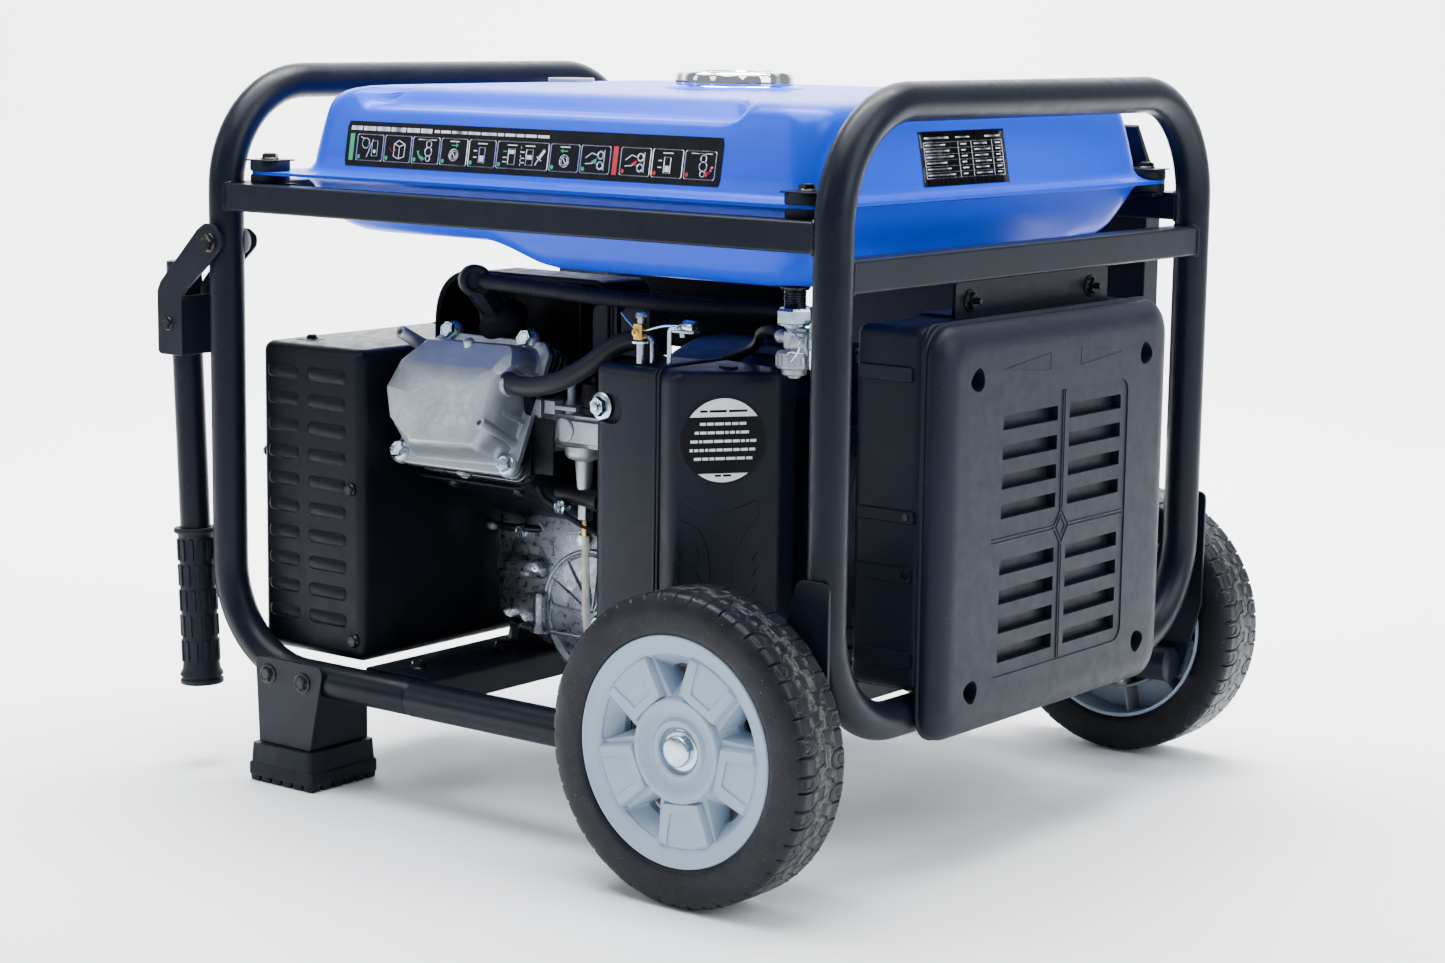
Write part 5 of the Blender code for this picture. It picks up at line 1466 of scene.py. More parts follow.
def build_crankcase():
    body = block((-148, -98, 128), (-8, 88, 316))
    bmesh.ops.bevel(body, geom=list(body.edges), offset=13, segments=6, affect="EDGES",
        profile=0.5)
    parts = [body]
    face = lambda bm, x, z, y=-98: aim(bm, (x, y, z), (0, -1, 0))
    # round bearing cover, lapped by a second casting with a bead on its edge
    parts.append(face(lathe([(0, -6), (61, -6), (61, 8), (59, 11), (54, 12.5), (40, 14), (0, 15)],
        96), -62, 176))
    parts.append(face(lathe([(0, -6), (57, -6), (57, 12), (56, 14.6), (53, 15.6), (50.5, 14.4),
        (49, 12.6), (30, 14.5), (0, 15.5)], 96), -20, 150))
    arc = [(-20 + 55 * math.cos(math.radians(a)), -113.4, 150 + 55 * math.sin(math.radians(a)))
        for a in range(60, 200, 4)]
    parts.append(sweep(arc, 2.1, 10))
    for a, r0, r1 in ((84, 4, 55), (104, 4, 55), (124, 2, 54), (150, 6, 54), (176, 6, 54),
            (62, 4, 55), (205, 8, 52), (240, 8, 30)):
        c, s = math.cos(math.radians(a)), math.sin(math.radians(a))
        parts.append(loft([[(-20 + r * c - w * s, y, 150 + r * s + w * c)
            for w, y in ((-1.7, -108), (-0.9, top), (0.9, top), (1.7, -108))]
            for r, top in ((r0, -116.0), (r1, -114.0))]))
    for a in range(100, 260, 26):
        c, s = math.cos(math.radians(a)), math.sin(math.radians(a))
        parts.append(loft([[(-62 + r * c - w * s, y, 176 + r * s + w * c)
            for w, y in ((-2.0, -104), (-1.1, top), (1.1, top), (2.0, -104))]
            for r, top in ((20, -114.5), (60, -108.5))]))
    # slanting ribs above the cover
    for (xa, za), (xb, zb) in (((-84, 224), (-57, 194)), ((-52, 216), (-40, 200)),
            ((-27, 222), (-26, 205)), ((-52, 217), (-28, 222))):
        d = Vector((xb - xa, 0, zb - za)).normalized() * 1.6
        parts.append(loft([[(x - d.z * k, y, z + d.x * k) for k, y in ((-1.3, -95), (-0.7, -112),
            (0.7, -112), (1.3, -95))] for x, z in ((xa, za), (xb, zb))]))
    # lying boss with a bolt in its end, oil filler pipe, bottom lip
    parts.append(aim(lathe([(0, 0), (8.4, 0), (9.0, 1), (9.2, 24), (9.9, 26), (9.9, 46), (8.6, 50),
        (5, 52.5), (0, 53)], 40), (-123, -113, 184), (1, 0, 0)))
    parts.append(aim(lathe([(0, 36), (4.5, 35.4), (6.4, 33.4), (7.0, 30), (7.1, 10), (8.0, 4),
        (9.4, 1.4), (9.6, -1), (0, -1)], 36), (-76.5, -116, 129), (0, 0, 1)))
    parts.append(loft([[(x, y, z) for y, z in rr(-116, -90, 127.2, 131.6, 2, 4)]
        for x in (-104, -9)]))
    for x, z, r in ((-22, 139, 6.5), (-12, 144, 7.5), (-100, 214, 7), (-30, 214, 6)):
        parts.append(face(lathe([(0, 0), (r + 1.6, 0), (r, 8), (r - 0.6, 16.5), (0, 16.5)], 28), x,
            z))
    put("crankcase", join(*parts), "alloy", nodes=("engine_block",), bevel=0.7, sharp=40)
    bolt("case_bolt_a", (-12, -114.6, 144), (0.2, -1, 0), 7.5, "zinc")
    bolt("case_bolt_b", (-100, -114.6, 214), (0, -1, 0), 6.5, "zinc")
    bolt("case_bolt_c", (-30, -114.6, 214), (0, -1, 0), 6.0, "zinc")
    bolt("case_bolt_d", (-123.5, -113, 184), (-1, 0, 0), 5.2, "zinc")
    put("case_screw", aim(lathe([(0, 0), (2.6, 0), (3.4, 0.4), (3.4, 2.4), (1.8, 2.6), (1.6, 1.4),
        (0, 1.4)], 20), (-76, -122.6, 185.5), (0.2, -1, 0.1)), "zinc")
    arm = [(-138, -118, 217.4), (-132, -118, 217.4), (-118, -117, 216.4), (-96, -114, 216.4),
        (-80, -108, 217)]
    put("governor_arm", sweep(smooth_path(arm, 6), lambda t: 4.6 if t < 0.2 else 3.4, 16),
        "boltblack")
    put("governor_ball", aim(lathe([(0, 4.6), (2.6, 4.2), (4.2, 2.4), (4.6, 0), (4.2, -2.4),
        (0, -4.6)], 24), (-127, -122, 217), (0, -1, 0)), "alloy")
    dress(("engine_mount_front", "engine_mount_back"), "rubber")
    for s, y in (("front", -75), ("back", 60)):
        ring = lathe([(4, 109.4), (24, 109.4), (25, 110.4), (25, 112), (21, 113), (19.5, 118),
            (20.5, 124), (24, 125), (24, 127.6), (4, 127.6)], 48, True)
        put("engine_mount_cup_" + s, moved(ring, Matrix.Translation((-117, y, 0))), "rubber")


def build_shroud():
    arch = rounded([(-150, 346), (40, 346), (40, 442), (-150, 442)], [3, 3, 16, 62], 12)
    inner = rounded([(-147.4, 348), (37.4, 348), (37.4, 439.4), (-147.4, 439.4)], [3, 3, 14, 60],
        12)
    rings = []
    for y, one in ((-168, arch), (-112, arch), (-112, inner), (-168, inner)):
        rings.append([(x, y, z) for x, z in one])
    rings.append(rings[0])
    put("shroud_arch", loft(rings, False, False), "sheet", nodes=("cylinder_shroud",), bevel=0.5)
    put("shroud_back", prism(inner, -118, -113.5), "sheet", bevel=0.8)
    put("shroud_lip", sweep([(x, -168, z) for x, z in arch], 1.7, 10, True), "sheet")
    ribs = [block((x, -134, 352), (x + 2.2, -117, 436)) for x in (-20, 2, 24)]
    # heat screen behind the engine, folded at the top and bolted to the alternator
    fold = [(38, 366), (40, 366), (40, 430), (58, 433), (58, 435), (38, 432)]
    screen = prism(fold, -118, 84, "YZ")
    swage = [aim(loft([[(x, y, z) for x, y in rr(-86, 86, -w, w, w * 0.9, 6)] for z in (-1, h)]),
        (-17, 38.4, z), (0, -1, 0)) for z in (388, 410) for w, h in ((5, 1.0), (3.2, 1.8))]
    put("heat_screen", join(screen, *swage), "sheet", bevel=0.5)
    put("shroud_ribs", join(*ribs), "sheet", bevel=0.8)


def build_ignition():
    a, b = Vector((-80, -163, 403)), Vector((-80, -196, 438))
    axis = (b - a).normalized()
    n = (b - a).length
    boot = lathe([(0, -6), (21, -6), (22, -3), (21.5, 1), (18.5, 4), (16, 9), (14.6, 13),
        (12.4, 14.4), (10.4, 15.2), (0, 15.2)], 56)
    put("spark_boot", aim(boot, a, axis), "rubber", nodes=("spark_cap",))
    core = loft([[(x, y, z) for x, y in rr(-8.4, 8.4, -8.4, 8.4, 3.4, 4)] for z in (6, n - 2)])
    edge = [loft([[(x, y, z) for x, y in rr(sx * 8 - 1.1, sx * 8 + 1.1, sy * 8 - 1.1, sy * 8 + 1.1,
        0.6, 2)] for z in (12, n - 5)]) for sx in (-1, 1) for sy in (-1, 1)]
    put("spark_stem", aim(join(core, *edge), a, axis), "rubber", bevel=0.5)
    elbow = lathe([(0, -12), (10.8, -12), (12.8, -10.4), (13.4, -8), (13.4, 3), (12.6, 5.2),
        (10.8, 6), (8.2, 5.4), (7.2, 4.0), (0, 3.6)], 56)
    put("spark_elbow", aim(elbow, (-79, -197, 438), (0.8, -0.6, 0.05)), "rubber", sharp=50)
    lead = [(-70, -197, 438), (-62, -197, 438), (-40, -195, 437), (-5, -190, 435), (35, -182, 432),
        (75, -172, 430), (115, -158, 428), (150, -142, 427), (178, -125, 427), (196, -104, 423),
        (204, -82, 412), (206, -66, 394), (206, -62, 372)]

    def girth(t):
        return 5.4 if t < 0.03 else 6.5 + 0.22 * math.sin(t * 640)

    put("ignition_cable", sweep(smooth_path(lead, 26), girth, 24), "rubber",
        nodes=("ignition_lead",), sharp=80)
    hose = [(-34, -219.5, 362), (-26.4, -217, 361), (-12, -221, 358.6), (12, -225, 360),
        (38, -224, 367), (60, -217, 380), (78, -209, 395), (92, -203, 402), (102, -199, 401),
        (107.6, -198, 395), (108, -198, 386.6)]
    put("breather_tube", sweep(smooth_path(hose, 14), lambda t: 8.6 if t < 0.02 else 8.1, 28),
        "hose", nodes=("breather_hose",), sharp=70)
    thin = [(0, -186, 352), (-9, -188, 350), (-14, -188, 339), (-9, -187, 327), (-17, -187, 304),
        (-22, -186, 283), (-15, -186, 264), (-5, -185, 257), (12, -183, 248), (30, -176, 238),
        (52, -160, 226)]
    put("vent_hose", sweep(smooth_path(thin, 10), 2.5, 14), "rubber")
    for k, w in enumerate((0, 3.4)):
        wire = [(-150, -60 - w, 300), (-120, -96, 322 + w), (-60, -104, 338 + w),
            (0, -108, 342 - w), (60, -104, 352), (110, -96, 372 + w)]
        put("loom_%d" % k, sweep(smooth_path(wire, 8), 2.2, 12), "dark")


def build_carburettor():
    parts = [block((-4, -194, 308), (62, -160, 334))]
    bmesh.ops.bevel(parts[0], geom=list(parts[0].edges), offset=4, segments=3, affect="EDGES")
    parts.append(aim(lathe([(13, -8), (17.5, -8), (18, -6), (18, 2), (15.5, 4), (15.5, 62),
        (19, 64), (19, 70), (13, 70)], 40, True), (2, -177, 322), (1, 0, 0)))
    parts.append(prism(rounded([(-12, 300), (-6, 300), (-6, 345), (-12, 345)], 1), -198, -156))
    parts.append(aim(lathe([(0, 360), (3.0, 360), (3.8, 358), (3.8, 346), (5.6, 343), (6.6, 332),
        (0, 332)], 24), (14, -182, 0), (0, 0, 1)))
    parts.append(block((-3, -196, 338), (30, -172, 341.5)))
    parts.append(block((-3, -197, 334), (8, -186, 345)))
    parts.append(aim(lathe([(0, 12), (6, 12), (6.6, 8), (6.6, -6), (0, -6)], 24), (2, -186, 318),
        (0.2, -1, 0)))
    parts.append(aim(lathe([(0, 4), (9, 4), (10.4, 3), (10.4, 1.6), (8.8, 1.6), (8.0, 0.6),
        (4, 0.6), (4, 2.4), (0, 2.6)], 32), (16, -192, 322), (0, -1, 0)))
    put("carb_body", join(*parts), "diecast", nodes=("carburettor",), bevel=0.5)
    bowl = lathe([(0, 270), (4.5, 270.4), (5.8, 273), (6.4, 279), (7.6, 296), (13.6, 298.5),
        (15.6, 301), (16.2, 303), (16.2, 308.5), (0, 308.5)], 40)
    put("carb_bowl", moved(bowl, Matrix.Translation((26, -180, 0))), "diecast", sharp=40)
    put("carb_slide", moved(lathe([(0, 366), (4, 366), (4, 361), (10, 360.4), (11, 358), (11, 342),
        (12.4, 341), (12.4, 336), (0, 336)], 40), Matrix.Translation((37, -180, 0))), "dark")
    put("carb_insulator", prism(rounded([(-24, 282), (-11.8, 282), (-11.8, 352), (-24, 352)], 1.5),
        -204, -150), "sheet", bevel=0.6)
    put("carb_plate", block((-11.4, -200.6, 284), (10, -198.8, 330)), "dark", bevel=0.5)
    bolt("carb_screw", (9, -190, 257), (-0.35, -1, 0), 6.0, "zinc", length=8)
    put("carb_knob", aim(lathe([(0, 0), (7, 0), (7.8, 1), (7.8, 34), (9, 36), (9.6, 46), (0, 46)],
        36), (0, -181, 268), (1, 0, -0.08)), "dark", bevel=0.3)
    put("carb_drain_block", block((21, -183, 246), (30, -172, 264)), "alloy", bevel=1.6)
    put("carb_ferrule", moved(lathe([(0, 233), (3.4, 233), (3.6, 235), (3.6, 244), (3.0, 247),
        (0, 247)], 24), Matrix.Translation((25, -177, 0))), "brass")
    tube = [(25, -177, 243), (25, -177, 232), (25.4, -176.4, 200), (24.6, -175.6, 170),
        (25.4, -173, 148), (29, -168, 134)]
    put("carb_drain_tube", sweep(smooth_path(tube, 10), 3.3, 18), "clear")
    # black moulded parts behind the linkage
    for k, (x0, x1) in enumerate(((22, 48), (52, 82))):
        shape = rounded([(x0, 384), (x1, 384), (x1, 428), (x0 + 9, 428), (x0, 418)], 2, 3)
        put("linkage_box_%d" % k, prism(shape, -166, -140), "cover", bevel=1.0)
        put("linkage_panel_%d" % k, prism(rounded([(x0 + 4, 389), (x1 - 4, 389), (x1 - 4, 423),
            (x0 + 11, 423), (x0 + 4, 414)], 1.5, 3), -167.2, -165), "cover", bevel=0.6)


def build_air_box():
    base = rounded([(80, -234), (149.4, -237), (149.4, -152), (80, -152)], [13, 1, 1, 8], 7)

    def shell(outline, z0, z1, r, crown=0.0):
        cx = sum(p[0] for p in outline) / len(outline)
        cy = sum(p[1] for p in outline) / len(outline)
        loops = []
        for k in range(7):
            a = PI / 2 * k / 6
            inset, rise = r * (1 - math.sin(a)), r * (1 - math.cos(a))
            loops.append((inset, z0 + rise))
        loops += [(i, z1 - (z - z0)) for i, z in reversed(loops)]
        out = []
        for inset, z in loops:
            ring = []
            for x, y in outline:
                d = Vector((x - cx, y - cy))
                size = d.length
                ring.append((cx + d.x * (1 - inset / size), cy + d.y * (1 - inset / size),
                    z - crown * (x - 150) / 70 * (z > (z0 + z1) / 2)))
            out.append(ring)
        return loft(out)

    body = put("air_box_shell", shell(base, 152, 386, 8), "airbox", nodes=("air_box_base",),
        sharp=40)
    notch = aim(loft([[(x, y, z) for x, y in rr(-24, 21, -12, 12, 11.5, 7)] for z in (-9.5, 12)]),
        (91, -236, 351), (0, -1, 0))
    cut(body, notch)
    nut("air_box_nut", (84, -227.4, 351), (-0.1, -1, 0), 8.5, "zinc", stud=3)
    lid = rounded([(150, -238), (171, -246.5), (222.5, -176), (222.5, -152), (150, -152)],
        [1, 13, 12, 6, 1], 8)
    put("air_box_lid", shell(lid, 152, 388, 10, 3.0), "airbox", nodes=("air_box_cover",), sharp=40)
    # the two beads of the joint
    for k, x in enumerate((148.0, 151.8)):
        ring = [(x, y, z) for y, z in rr(-238.6 - 0.6 * k, -152, 151.2, 388.0, 7, 6)]
        put("air_box_bead_%d" % k, sweep(ring, 1.5, 10, True), "airbox")
    # round label on the slanted face, with plain bars and no words
    u = Vector((222.5 - 171, -176 + 246.5, 0)).normalized()
    n = Vector((u.y, -u.x, 0))
    centre = Vector((171, -246.5, 0)).lerp(Vector((222.5, -176, 0)), 0.47)
    centre.z = 333

    def place(a, b, lift):
        return tuple(centre + u * a + Vector((0, 0, b)) + n * lift)

    put("label_ring", sweep([place(35.2 * math.cos(t), 35.2 * math.sin(t), 0.05)
        for t in (2 * PI * k / 72 for k in range(72))], 0.55, 8, True), "airbox")
    film("label_round", [disc(0, 0, 33.6, 64)], "film", place, 0.3)
    top = [(33.0 * math.cos(t), 33.0 * math.sin(t)) for t in (math.radians(34.5 + 111 * k / 24)
        for k in range(25))]
    low = [(32.6 * math.cos(t), 32.6 * math.sin(t)) for t in (math.radians(-128 + 76 * k / 18)
        for k in range(19))]
    film("label_round_white", [top, low], "white", place, 0.55)
    words = []
    random.seed(11)
    for half, z in ((19, 13.2), (23, 6.4), (26.5, -0.4), (27, -7.2), (23.5, -14.0)):
        a = -half
        while a < half - 2:
            w = min(random.uniform(2.2, 7.5), half - a)
            words.append(bar(a, z - 1.05, a + w, z + 1.05))
            a += w + 1.1
    film("label_round_bars", words, "white", place, 0.6)
    film("label_round_dark", [bar(-19, 22.2, -13, 24.0), bar(-11.4, 22.2, 2.4, 24.0),
        bar(4.2, 22.2, 19, 24.0), bar(-6.5, -28.2, -1.6, -26.4), bar(0, -28.2, 6.6, -26.4)],
        "film", place, 0.75)

    # faint raised outlines: a waisted frame and a column of hexagons
    def outline(points, closed=True):
        return sweep([place(a, b, 0.1) for a, b in points], 0.42, 6, closed)

    waist = [(-33, -46), (-20, -53), (-4, -55.5), (14, -53), (28, -48), (30, -60), (21, -71),
        (11, -92), (7, -120), (8, -150), (12, -172)]
    left = [(-33, -46), (-35, -60), (-20, -68), (-12, -84), (-9, -110), (-10, -150), (-14, -172)]
    parts = [outline([p.xy for p in smooth_path([(a, b, 0) for a, b in pts], 4)], False)
        for pts in (waist, left)]
    for k in range(5):
        z = -90 - 18 * k
        parts.append(outline([(-37, z), (-33, z + 7), (-21, z + 7.6), (-17.5, z), (-21, z - 7),
            (-34, z - 7)]))
    for k in range(6):
        parts.append(outline([(25, -96 - 13 * k), (29, -88 - 13 * k)], False))
    put("air_box_relief", join(*parts), "airbox")
    for k, (x, y) in enumerate(((176, -196), (204, -166))):
        put("air_box_clip_%d" % k, block((x, y, 384), (x + 13, y + 9, 388.2)), "dark", bevel=1.0)


def build_linkage():
    y = -221
    post = moved(lathe([(0, 387.5), (3.3, 387.5), (3.3, 403), (7.2, 403.4), (7.4, 405), (3, 405.6),
        (3, 406), (0, 406)], 32), Matrix.Translation((118, y, 0)))
    put("choke_post", post, "zinc", "choke", nodes=("choke_lever",))
    swivel = block((113.6, y - 4.6, 405.8), (122.4, y + 4.6, 419))
    put("choke_swivel", swivel, "brass", "choke", bevel=1.1)
    put("choke_swivel_eye", aim(lathe([(1.5, 0), (3.0, 0.2), (3.2, 1.0), (1.5, 1.2)], 20, True),
        (116.5, y - 4.4, 412), (0, -1, 0)), "brass", "choke")
    bolt("choke_clamp", (118, y, 423.6), (0, 0, 1), 5.4, "zinc", "choke", flange=False, length=5)
    wire = [(86, -206, 424), (97, -212, 419), (110, -218.5, 414), (120, y, 413.4), (126, y, 414.5),
        (141, y, 418.5), (156, y, 419.6), (166, y, 421)]
    put("choke_wire", sweep(smooth_path(wire[3:], 8), 1.0, 10), "zinc", "choke")
    put("choke_wire_far", sweep(smooth_path(wire[:3], 8), 0.9, 10), "zinc")
    bar_path = bend_path([(147, y, 389.5), (147, y, 418), (172, y, 416.5)], [0, 4, 0], 6)
    put("choke_bar", sweep(bar_path, 1.9, 12), "zinc", "choke")
    put("choke_plate", prism(rr(152, 173.5, y - 6, y + 7, 3, 4), 415.0, 416.8, "XY"), "zinc",
        "choke", bevel=0.4)
    put("choke_hook", sweep(bend_path([(128, y + 2, 388.6), (128, y + 2, 407), (121, y + 2, 409)],
        [0, 3, 0], 5), 1.7, 12), "zinc", "choke")
    bolt("choke_cable_bolt", (160, y, 418.2), (0, 0, 1), 4.6, "zinc", "choke", length=7)
    put("choke_clamp_plate", aim(lathe([(0, 0), (4.4, 0), (5, 1), (5, 9), (4.2, 10), (0, 10)], 24),
        (163, y - 1, 420.5), (1, 0, -0.08)), "zinc", "choke")


def build_fuel_tap():
    at = Matrix.Translation((245, -190, 0))
    nut_loops = [[(x * k, y * k, z) for x, y in hexagon(25)] for k, z in ((0.9, 425.2), (1.0, 427),
        (1.0, 436), (0.9, 438))]
    put("tap_nut", moved(join(loft(nut_loops), lathe([(12.6, 425), (12.6, 426), (10, 424.6),
        (8, 424.6)], 40)), at), "zinc", sharp=30)
    ridges = [(8.2 + 0.5 * (k % 2), 438 + 0.9 * k) for k in range(14)]
    put("tap_thread", moved(lathe([(0, 436)] + [(8.2, 436)] + ridges
        + [(8.2, 451.5), (10.5, 452), (11.5, 453.4), (11.5, 454.2), (0, 454.2)], 40), at),
        "boltblack")
    neck = lathe([(0, 426), (8.4, 426), (8.0, 423), (6.2, 421), (6.0, 408), (8, 405.5),
        (12.8, 404.6), (13.6, 403.6), (13.6, 393), (12.6, 391.6), (9.8, 391), (9.6, 387.4),
        (8.6, 386.2), (5.2, 386), (5.0, 384.6), (4.4, 384), (0, 384)], 48)
    side = block((238, -198, 404), (262, -182, 423))
    bmesh.ops.bevel(side, geom=list(side.edges), offset=3.2, segments=3, affect="EDGES")
    drum = aim(lathe([(0, -2), (9.6, -2), (10, -1), (10, 11.6), (9.2, 12.6), (0, 12.6)], 40),
        (249, -190, 411.5), (1, 0, 0))
    spout = aim(lathe([(0, 0), (4.6, 0), (4.6, 9), (5.4, 10), (5.4, 12), (4, 14), (0, 14)], 28),
        (241, -190, 414), (-1, 0.2, 0.1))
    grips = [moved(block((12.6, -1.5, 394), (14.6, 1.5, 402)),
        Matrix.Rotation(2 * PI * k / 14, 4, "Z")) for k in range(14)]
    put("tap_casting", join(moved(neck, at), side, drum, spout, *[moved(g, at) for g in grips]),
        "diecast", nodes=("fuel_tap",), bevel=0.5, sharp=40)
    clip = [(249, -201, 421), (256, -203, 418), (259, -203, 410), (255, -203, 402),
        (250, -202, 398), (247, -202, 402), (250, -202.4, 405.5), (256, -203, 405.4),
        (262, -201, 405.6)]
    put("tap_clip", sweep(smooth_path(clip, 6), 1.05, 10), "zinc")
    lever = rounded([(-5, 12), (5, 12), (6.4, -2), (4.4, -26), (-4.4, -26), (-6.4, -2)], 3, 4)
    put("tap_handle", loft([[(x, -190 + a, 420 + b - 3) for a, b in lever]
        for x in (262.3, 265.2)]), "zinc", "tap_lever", nodes=("fuel_tap_lever",), bevel=0.7)
    put("tap_hub", aim(lathe([(0, 0), (5.6, 0), (5.6, 2.4), (4.6, 3.2), (0, 3.2)], 28),
        (264, -190, 420), (1, 0, 0)), "zinc", "tap_lever")
    line_path = [(230, -187, 416), (214, -180, 418), (190, -160, 412), (160, -130, 396),
        (120, -120, 380), (80, -130, 364), (52, -160, 350)]
    put("fuel_line", sweep(smooth_path(line_path, 8), 4.0, 16), "rubber")


def build_muffler():
    can = block((-266, -234, 136), (-186, -56, 352))
    bmesh.ops.bevel(can, geom=list(can.edges), offset=16, segments=6, affect="EDGES", profile=0.5)
    put("muffler_can", can, "steel", nodes=("muffler",), sharp=40)
    seam = [(x, y, 244) for x, y in rr(-267.4, -184.6, -235.4, -54.6, 17, 8)]
    put("muffler_seam", sweep(seam, 2.0, 10, True), "steel")
    stub = aim(lathe([(0, -4), (17, -4), (17, 38), (24, 39), (24, 44), (0, 44)], 40),
        (-186, -140, 318), (1, 0, 0))
    put("muffler_stub", stub, "steel", bevel=0.5)
    for k, s in enumerate((-1, 1)):
        nut("muffler_nut_%d" % k, (-143, -140 + s * 19, 318 + s * 8), (-1, 0, 0), 6, "zinc")


def build_alternator():
    drum = [(0, 0), (88, 0), (100, 2), (118, 6), (131, 12), (136, 20), (138, 28), (138, 90),
        (135.6, 92), (135.6, 96), (138, 98), (138, 262), (141, 264), (141, 276), (138, 278),
        (120, 279), (96, 279), (0, 279)]
    put("alternator_drum", aim(lathe(drum, 128), DRUM, (1, 0, 0)), "airbox",
        nodes=("alternator_housing",), bevel=0.8)
    fins = []
    for k in range(36):
        fin = loft([[(r, t, x) for r, t in ((134, -2.2), (140.2, -1.0), (140.2, 1.0), (134, 2.2))]
            for x in (100, 258)])
        fins.append(moved(fin, Matrix.Rotation(2 * PI * k / 36, 4, "Z")))
    put("alternator_fins", aim(join(*fins), DRUM, (1, 0, 0)), "airbox", bevel=0.5)
    vents = []
    for k in range(24):
        a = 2 * PI * k / 24
        vents.append(moved(block((96, -4.5, -1.2), (124, 4.5, 2.4)), Matrix.Rotation(a, 4, "Z")))
    put("alternator_vents", aim(join(*vents), DRUM, (1, 0, 0)), "dark", bevel=1.5)
    dress(("crank_rotor",), "steel")


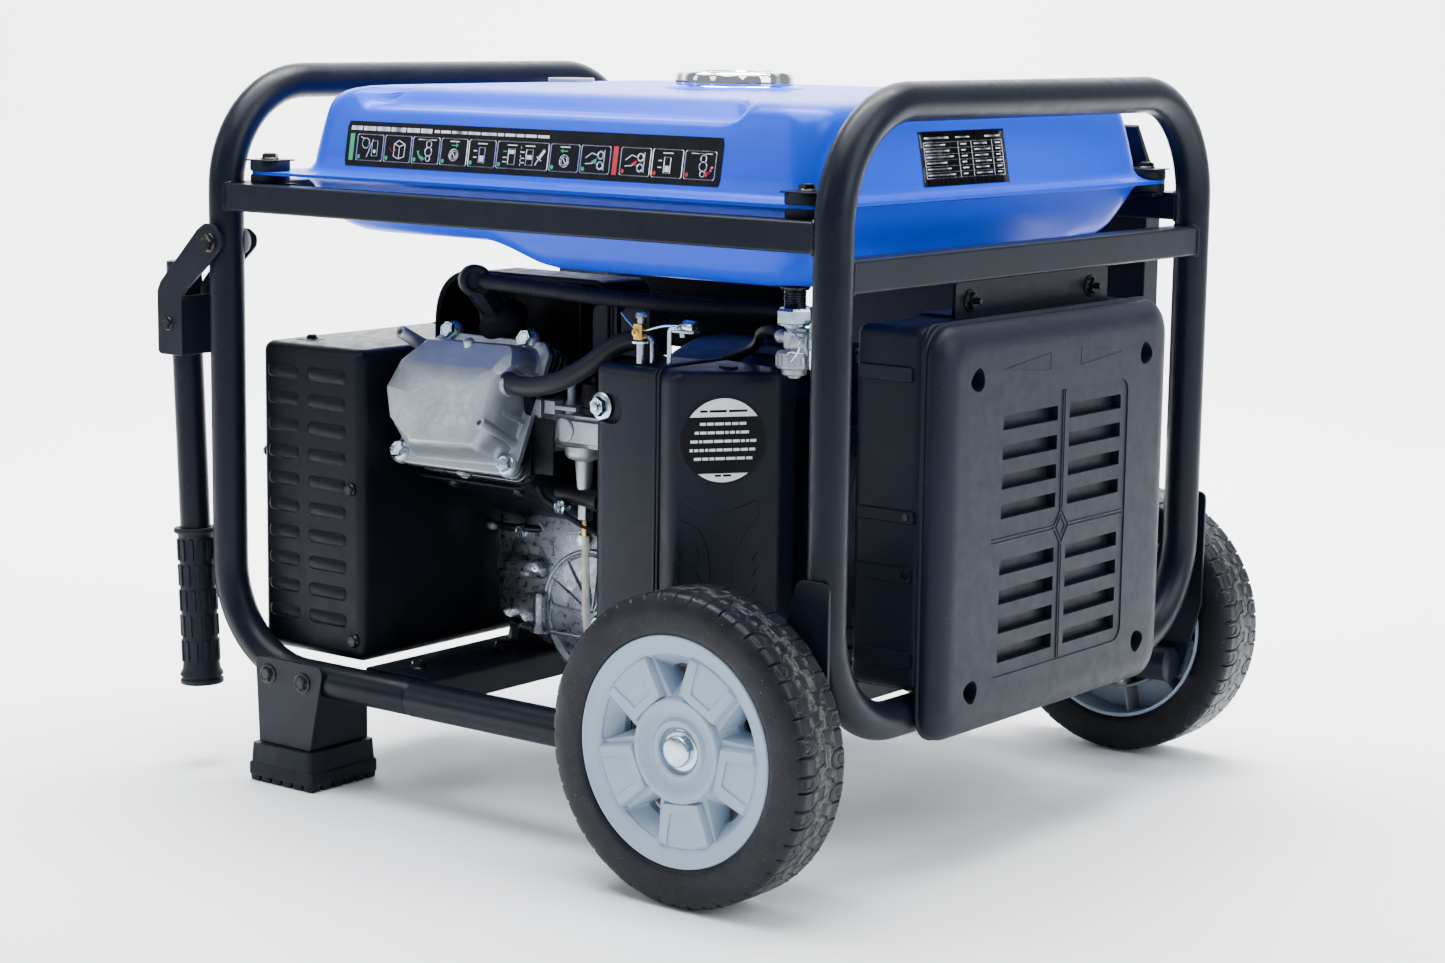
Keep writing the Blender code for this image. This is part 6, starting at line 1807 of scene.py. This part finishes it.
def build_panel():
    outline = rounded([(281, 290), (306, 290), (306, 508), (263, 569), (259.5, 566), (281, 532)],
        [3, 5, 14, 2, 2, 6], 6)
    put("panel_shell", prism(outline, -70, 280, "YZ"), "cover", nodes=("control_panel",),
        bevel=2.4, seg=4)
    y = 306.0
    put("panel_face", prism(rr(-58, 268, 300, 496, 8, 6), y - 1, y + 0.9), "film", bevel=0.5)
    put("switch_bezel", prism(rr(224, 256, 434, 476, 4, 5), y - 0.2, y + 1.9), "dark", bevel=0.6)
    for piece in ("panel_shell", "panel_face", "switch_bezel"):
        cut(bpy.data.objects[piece], block((229.2, 292, 438.6), (250.8, 312, 471.4)),
            aim(lathe([(0, -14), (6.45, -14), (6.45, 6), (0, 6)], 32), (190, y, 330), (0, 1, 0)))

    def place(u, v, lift):
        return (u, y + 0.9 + lift, v)

    for k, x in enumerate((0, 80)):
        ring = lathe([(17.5, -2), (27, -2), (27, 7.6), (26, 8.9), (22.5, 9), (21.4, 7.4),
            (20.6, 3), (17.5, 2.4)], 64, True)
        put("socket_ring_%d" % k, aim(ring, (x, y, 360), (0, 1, 0)), "dark", bevel=0.3)
        face = put("socket_face_%d" % k, aim(lathe([(0, -3), (21, -3), (21, 3.4), (0, 3.4)], 48),
            (x, y, 360), (0, 1, 0)), "grey")
        cut(face, *[aim(lathe([(0, -4), (2.9, -4), (2.9, 6), (0, 6)], 20),
            (x + 9.5 * math.cos(a), y, 360 + 9.5 * math.sin(a)), (0, 1, 0))
            for a in (PI / 2, PI * 7 / 6, PI * 11 / 6)])
        lid = rounded([(x - 26, 390), (x + 26, 390), (x + 26, 400), (x - 26, 400)], 3, 4)
        put("socket_hinge_%d" % k, prism(lid, y, y + 6), "dark", bevel=1.0)
    shape = [(299.5, 441), (308.6, 441), (307.0, 455), (309.6, 469), (299.5, 469)]
    put("switch_rocker", prism(rounded(shape, [0, 1.5, 6, 1.5, 0], 4), 229.6, 250.4, "YZ"), "red",
        "switch", nodes=("engine_switch",), bevel=0.6)
    put("switch_mark", block((239.2, 307.4, 460), (240.8, 309.7, 466)), "white", "switch",
        bevel=0.2)
    put("breaker_cap", aim(lathe([(0, 0), (6.2, 0), (6.2, 14), (5.4, 15), (4.6, 14.6), (0, 14.4)],
        32), (190, 297, 330), (0, 1, 0)), "dark", "breaker", nodes=("breaker_button",))
    put("breaker_collar", aim(lathe([(6.7, 0), (11, 0), (11, 1.6), (9.6, 3.2), (6.7, 3.4)], 40,
        True), (190, y + 0.6, 330), (0, 1, 0)), "grey")
    # display, knob, lamps and earth terminal
    put("display_bezel", prism(rr(20, 96, 426, 470, 5, 5), y, y + 2.6), "dark", bevel=0.8)
    put("display_glass", prism(rr(25, 91, 431, 465, 2, 3), y + 1.6, y + 2.9), "grey", bevel=0.3)
    knob = lathe([(0, 0), (15, 0), (15, 1.4), (12, 2.4), (11.4, 8.2), (10.2, 9), (0, 9)], 60,
        wave=lambda k, a: 1 - (0.05 if k in (3, 4, 5) else 0) * (0.5 + 0.5 * math.cos(15 * a)))
    put("mode_knob", aim(knob, (160, y + 0.9, 452), (0, 1, 0)), "dark")
    put("mode_mark", block((159.2, y + 9.2, 454), (160.8, y + 10.3, 462)), "white", bevel=0.2)
    for k, (x, tone) in enumerate(((-40, "green"), (-24, "red"), (-8, "grey"))):
        put("lamp_%d" % k, aim(lathe([(0, 0), (3.4, 0), (3.4, 2), (2.4, 3.4), (0, 4)], 24),
            (x, y + 0.9, 450), (0, 1, 0)), tone)
    nut("earth_nut", (250, y + 1, 318), (0, 1, 0), 6, "zinc", stud=6)
    for k, (x, z) in enumerate(((-62, 296), (272, 296), (-62, 500), (272, 500))):
        put("panel_screw_%d" % k, aim(lathe([(0, 1.2), (2.0, 1.4), (3.8, 0.8), (4.4, -0.6),
            (0, -0.6)], 24), (x, y, z), (0, 1, 0)), "boltblack")
    lines = frame_of(-52, 306, 262, 490, 0.8, 5) + frame_of(-34, 322, 116, 412, 0.7,
        4) + frame_of(172, 312, 208, 350, 0.6, 3) + [bar(-46, 480, 60, 483),
        bar(-46, 436, -4, 437.4), bar(224, 481, 256, 482.6), bar(144, 474, 176, 475.6)]
    lines += ring_of(160, 452, 18.5, 0.7, 24, -150, 150)
    film("panel_lines", lines, "white", place, 0.3)


build_rocker_cover()
build_cylinder()
build_crankcase()
build_shroud()
build_ignition()
build_carburettor()
build_air_box()
build_linkage()
build_fuel_tap()
build_muffler()
build_alternator()
build_panel()
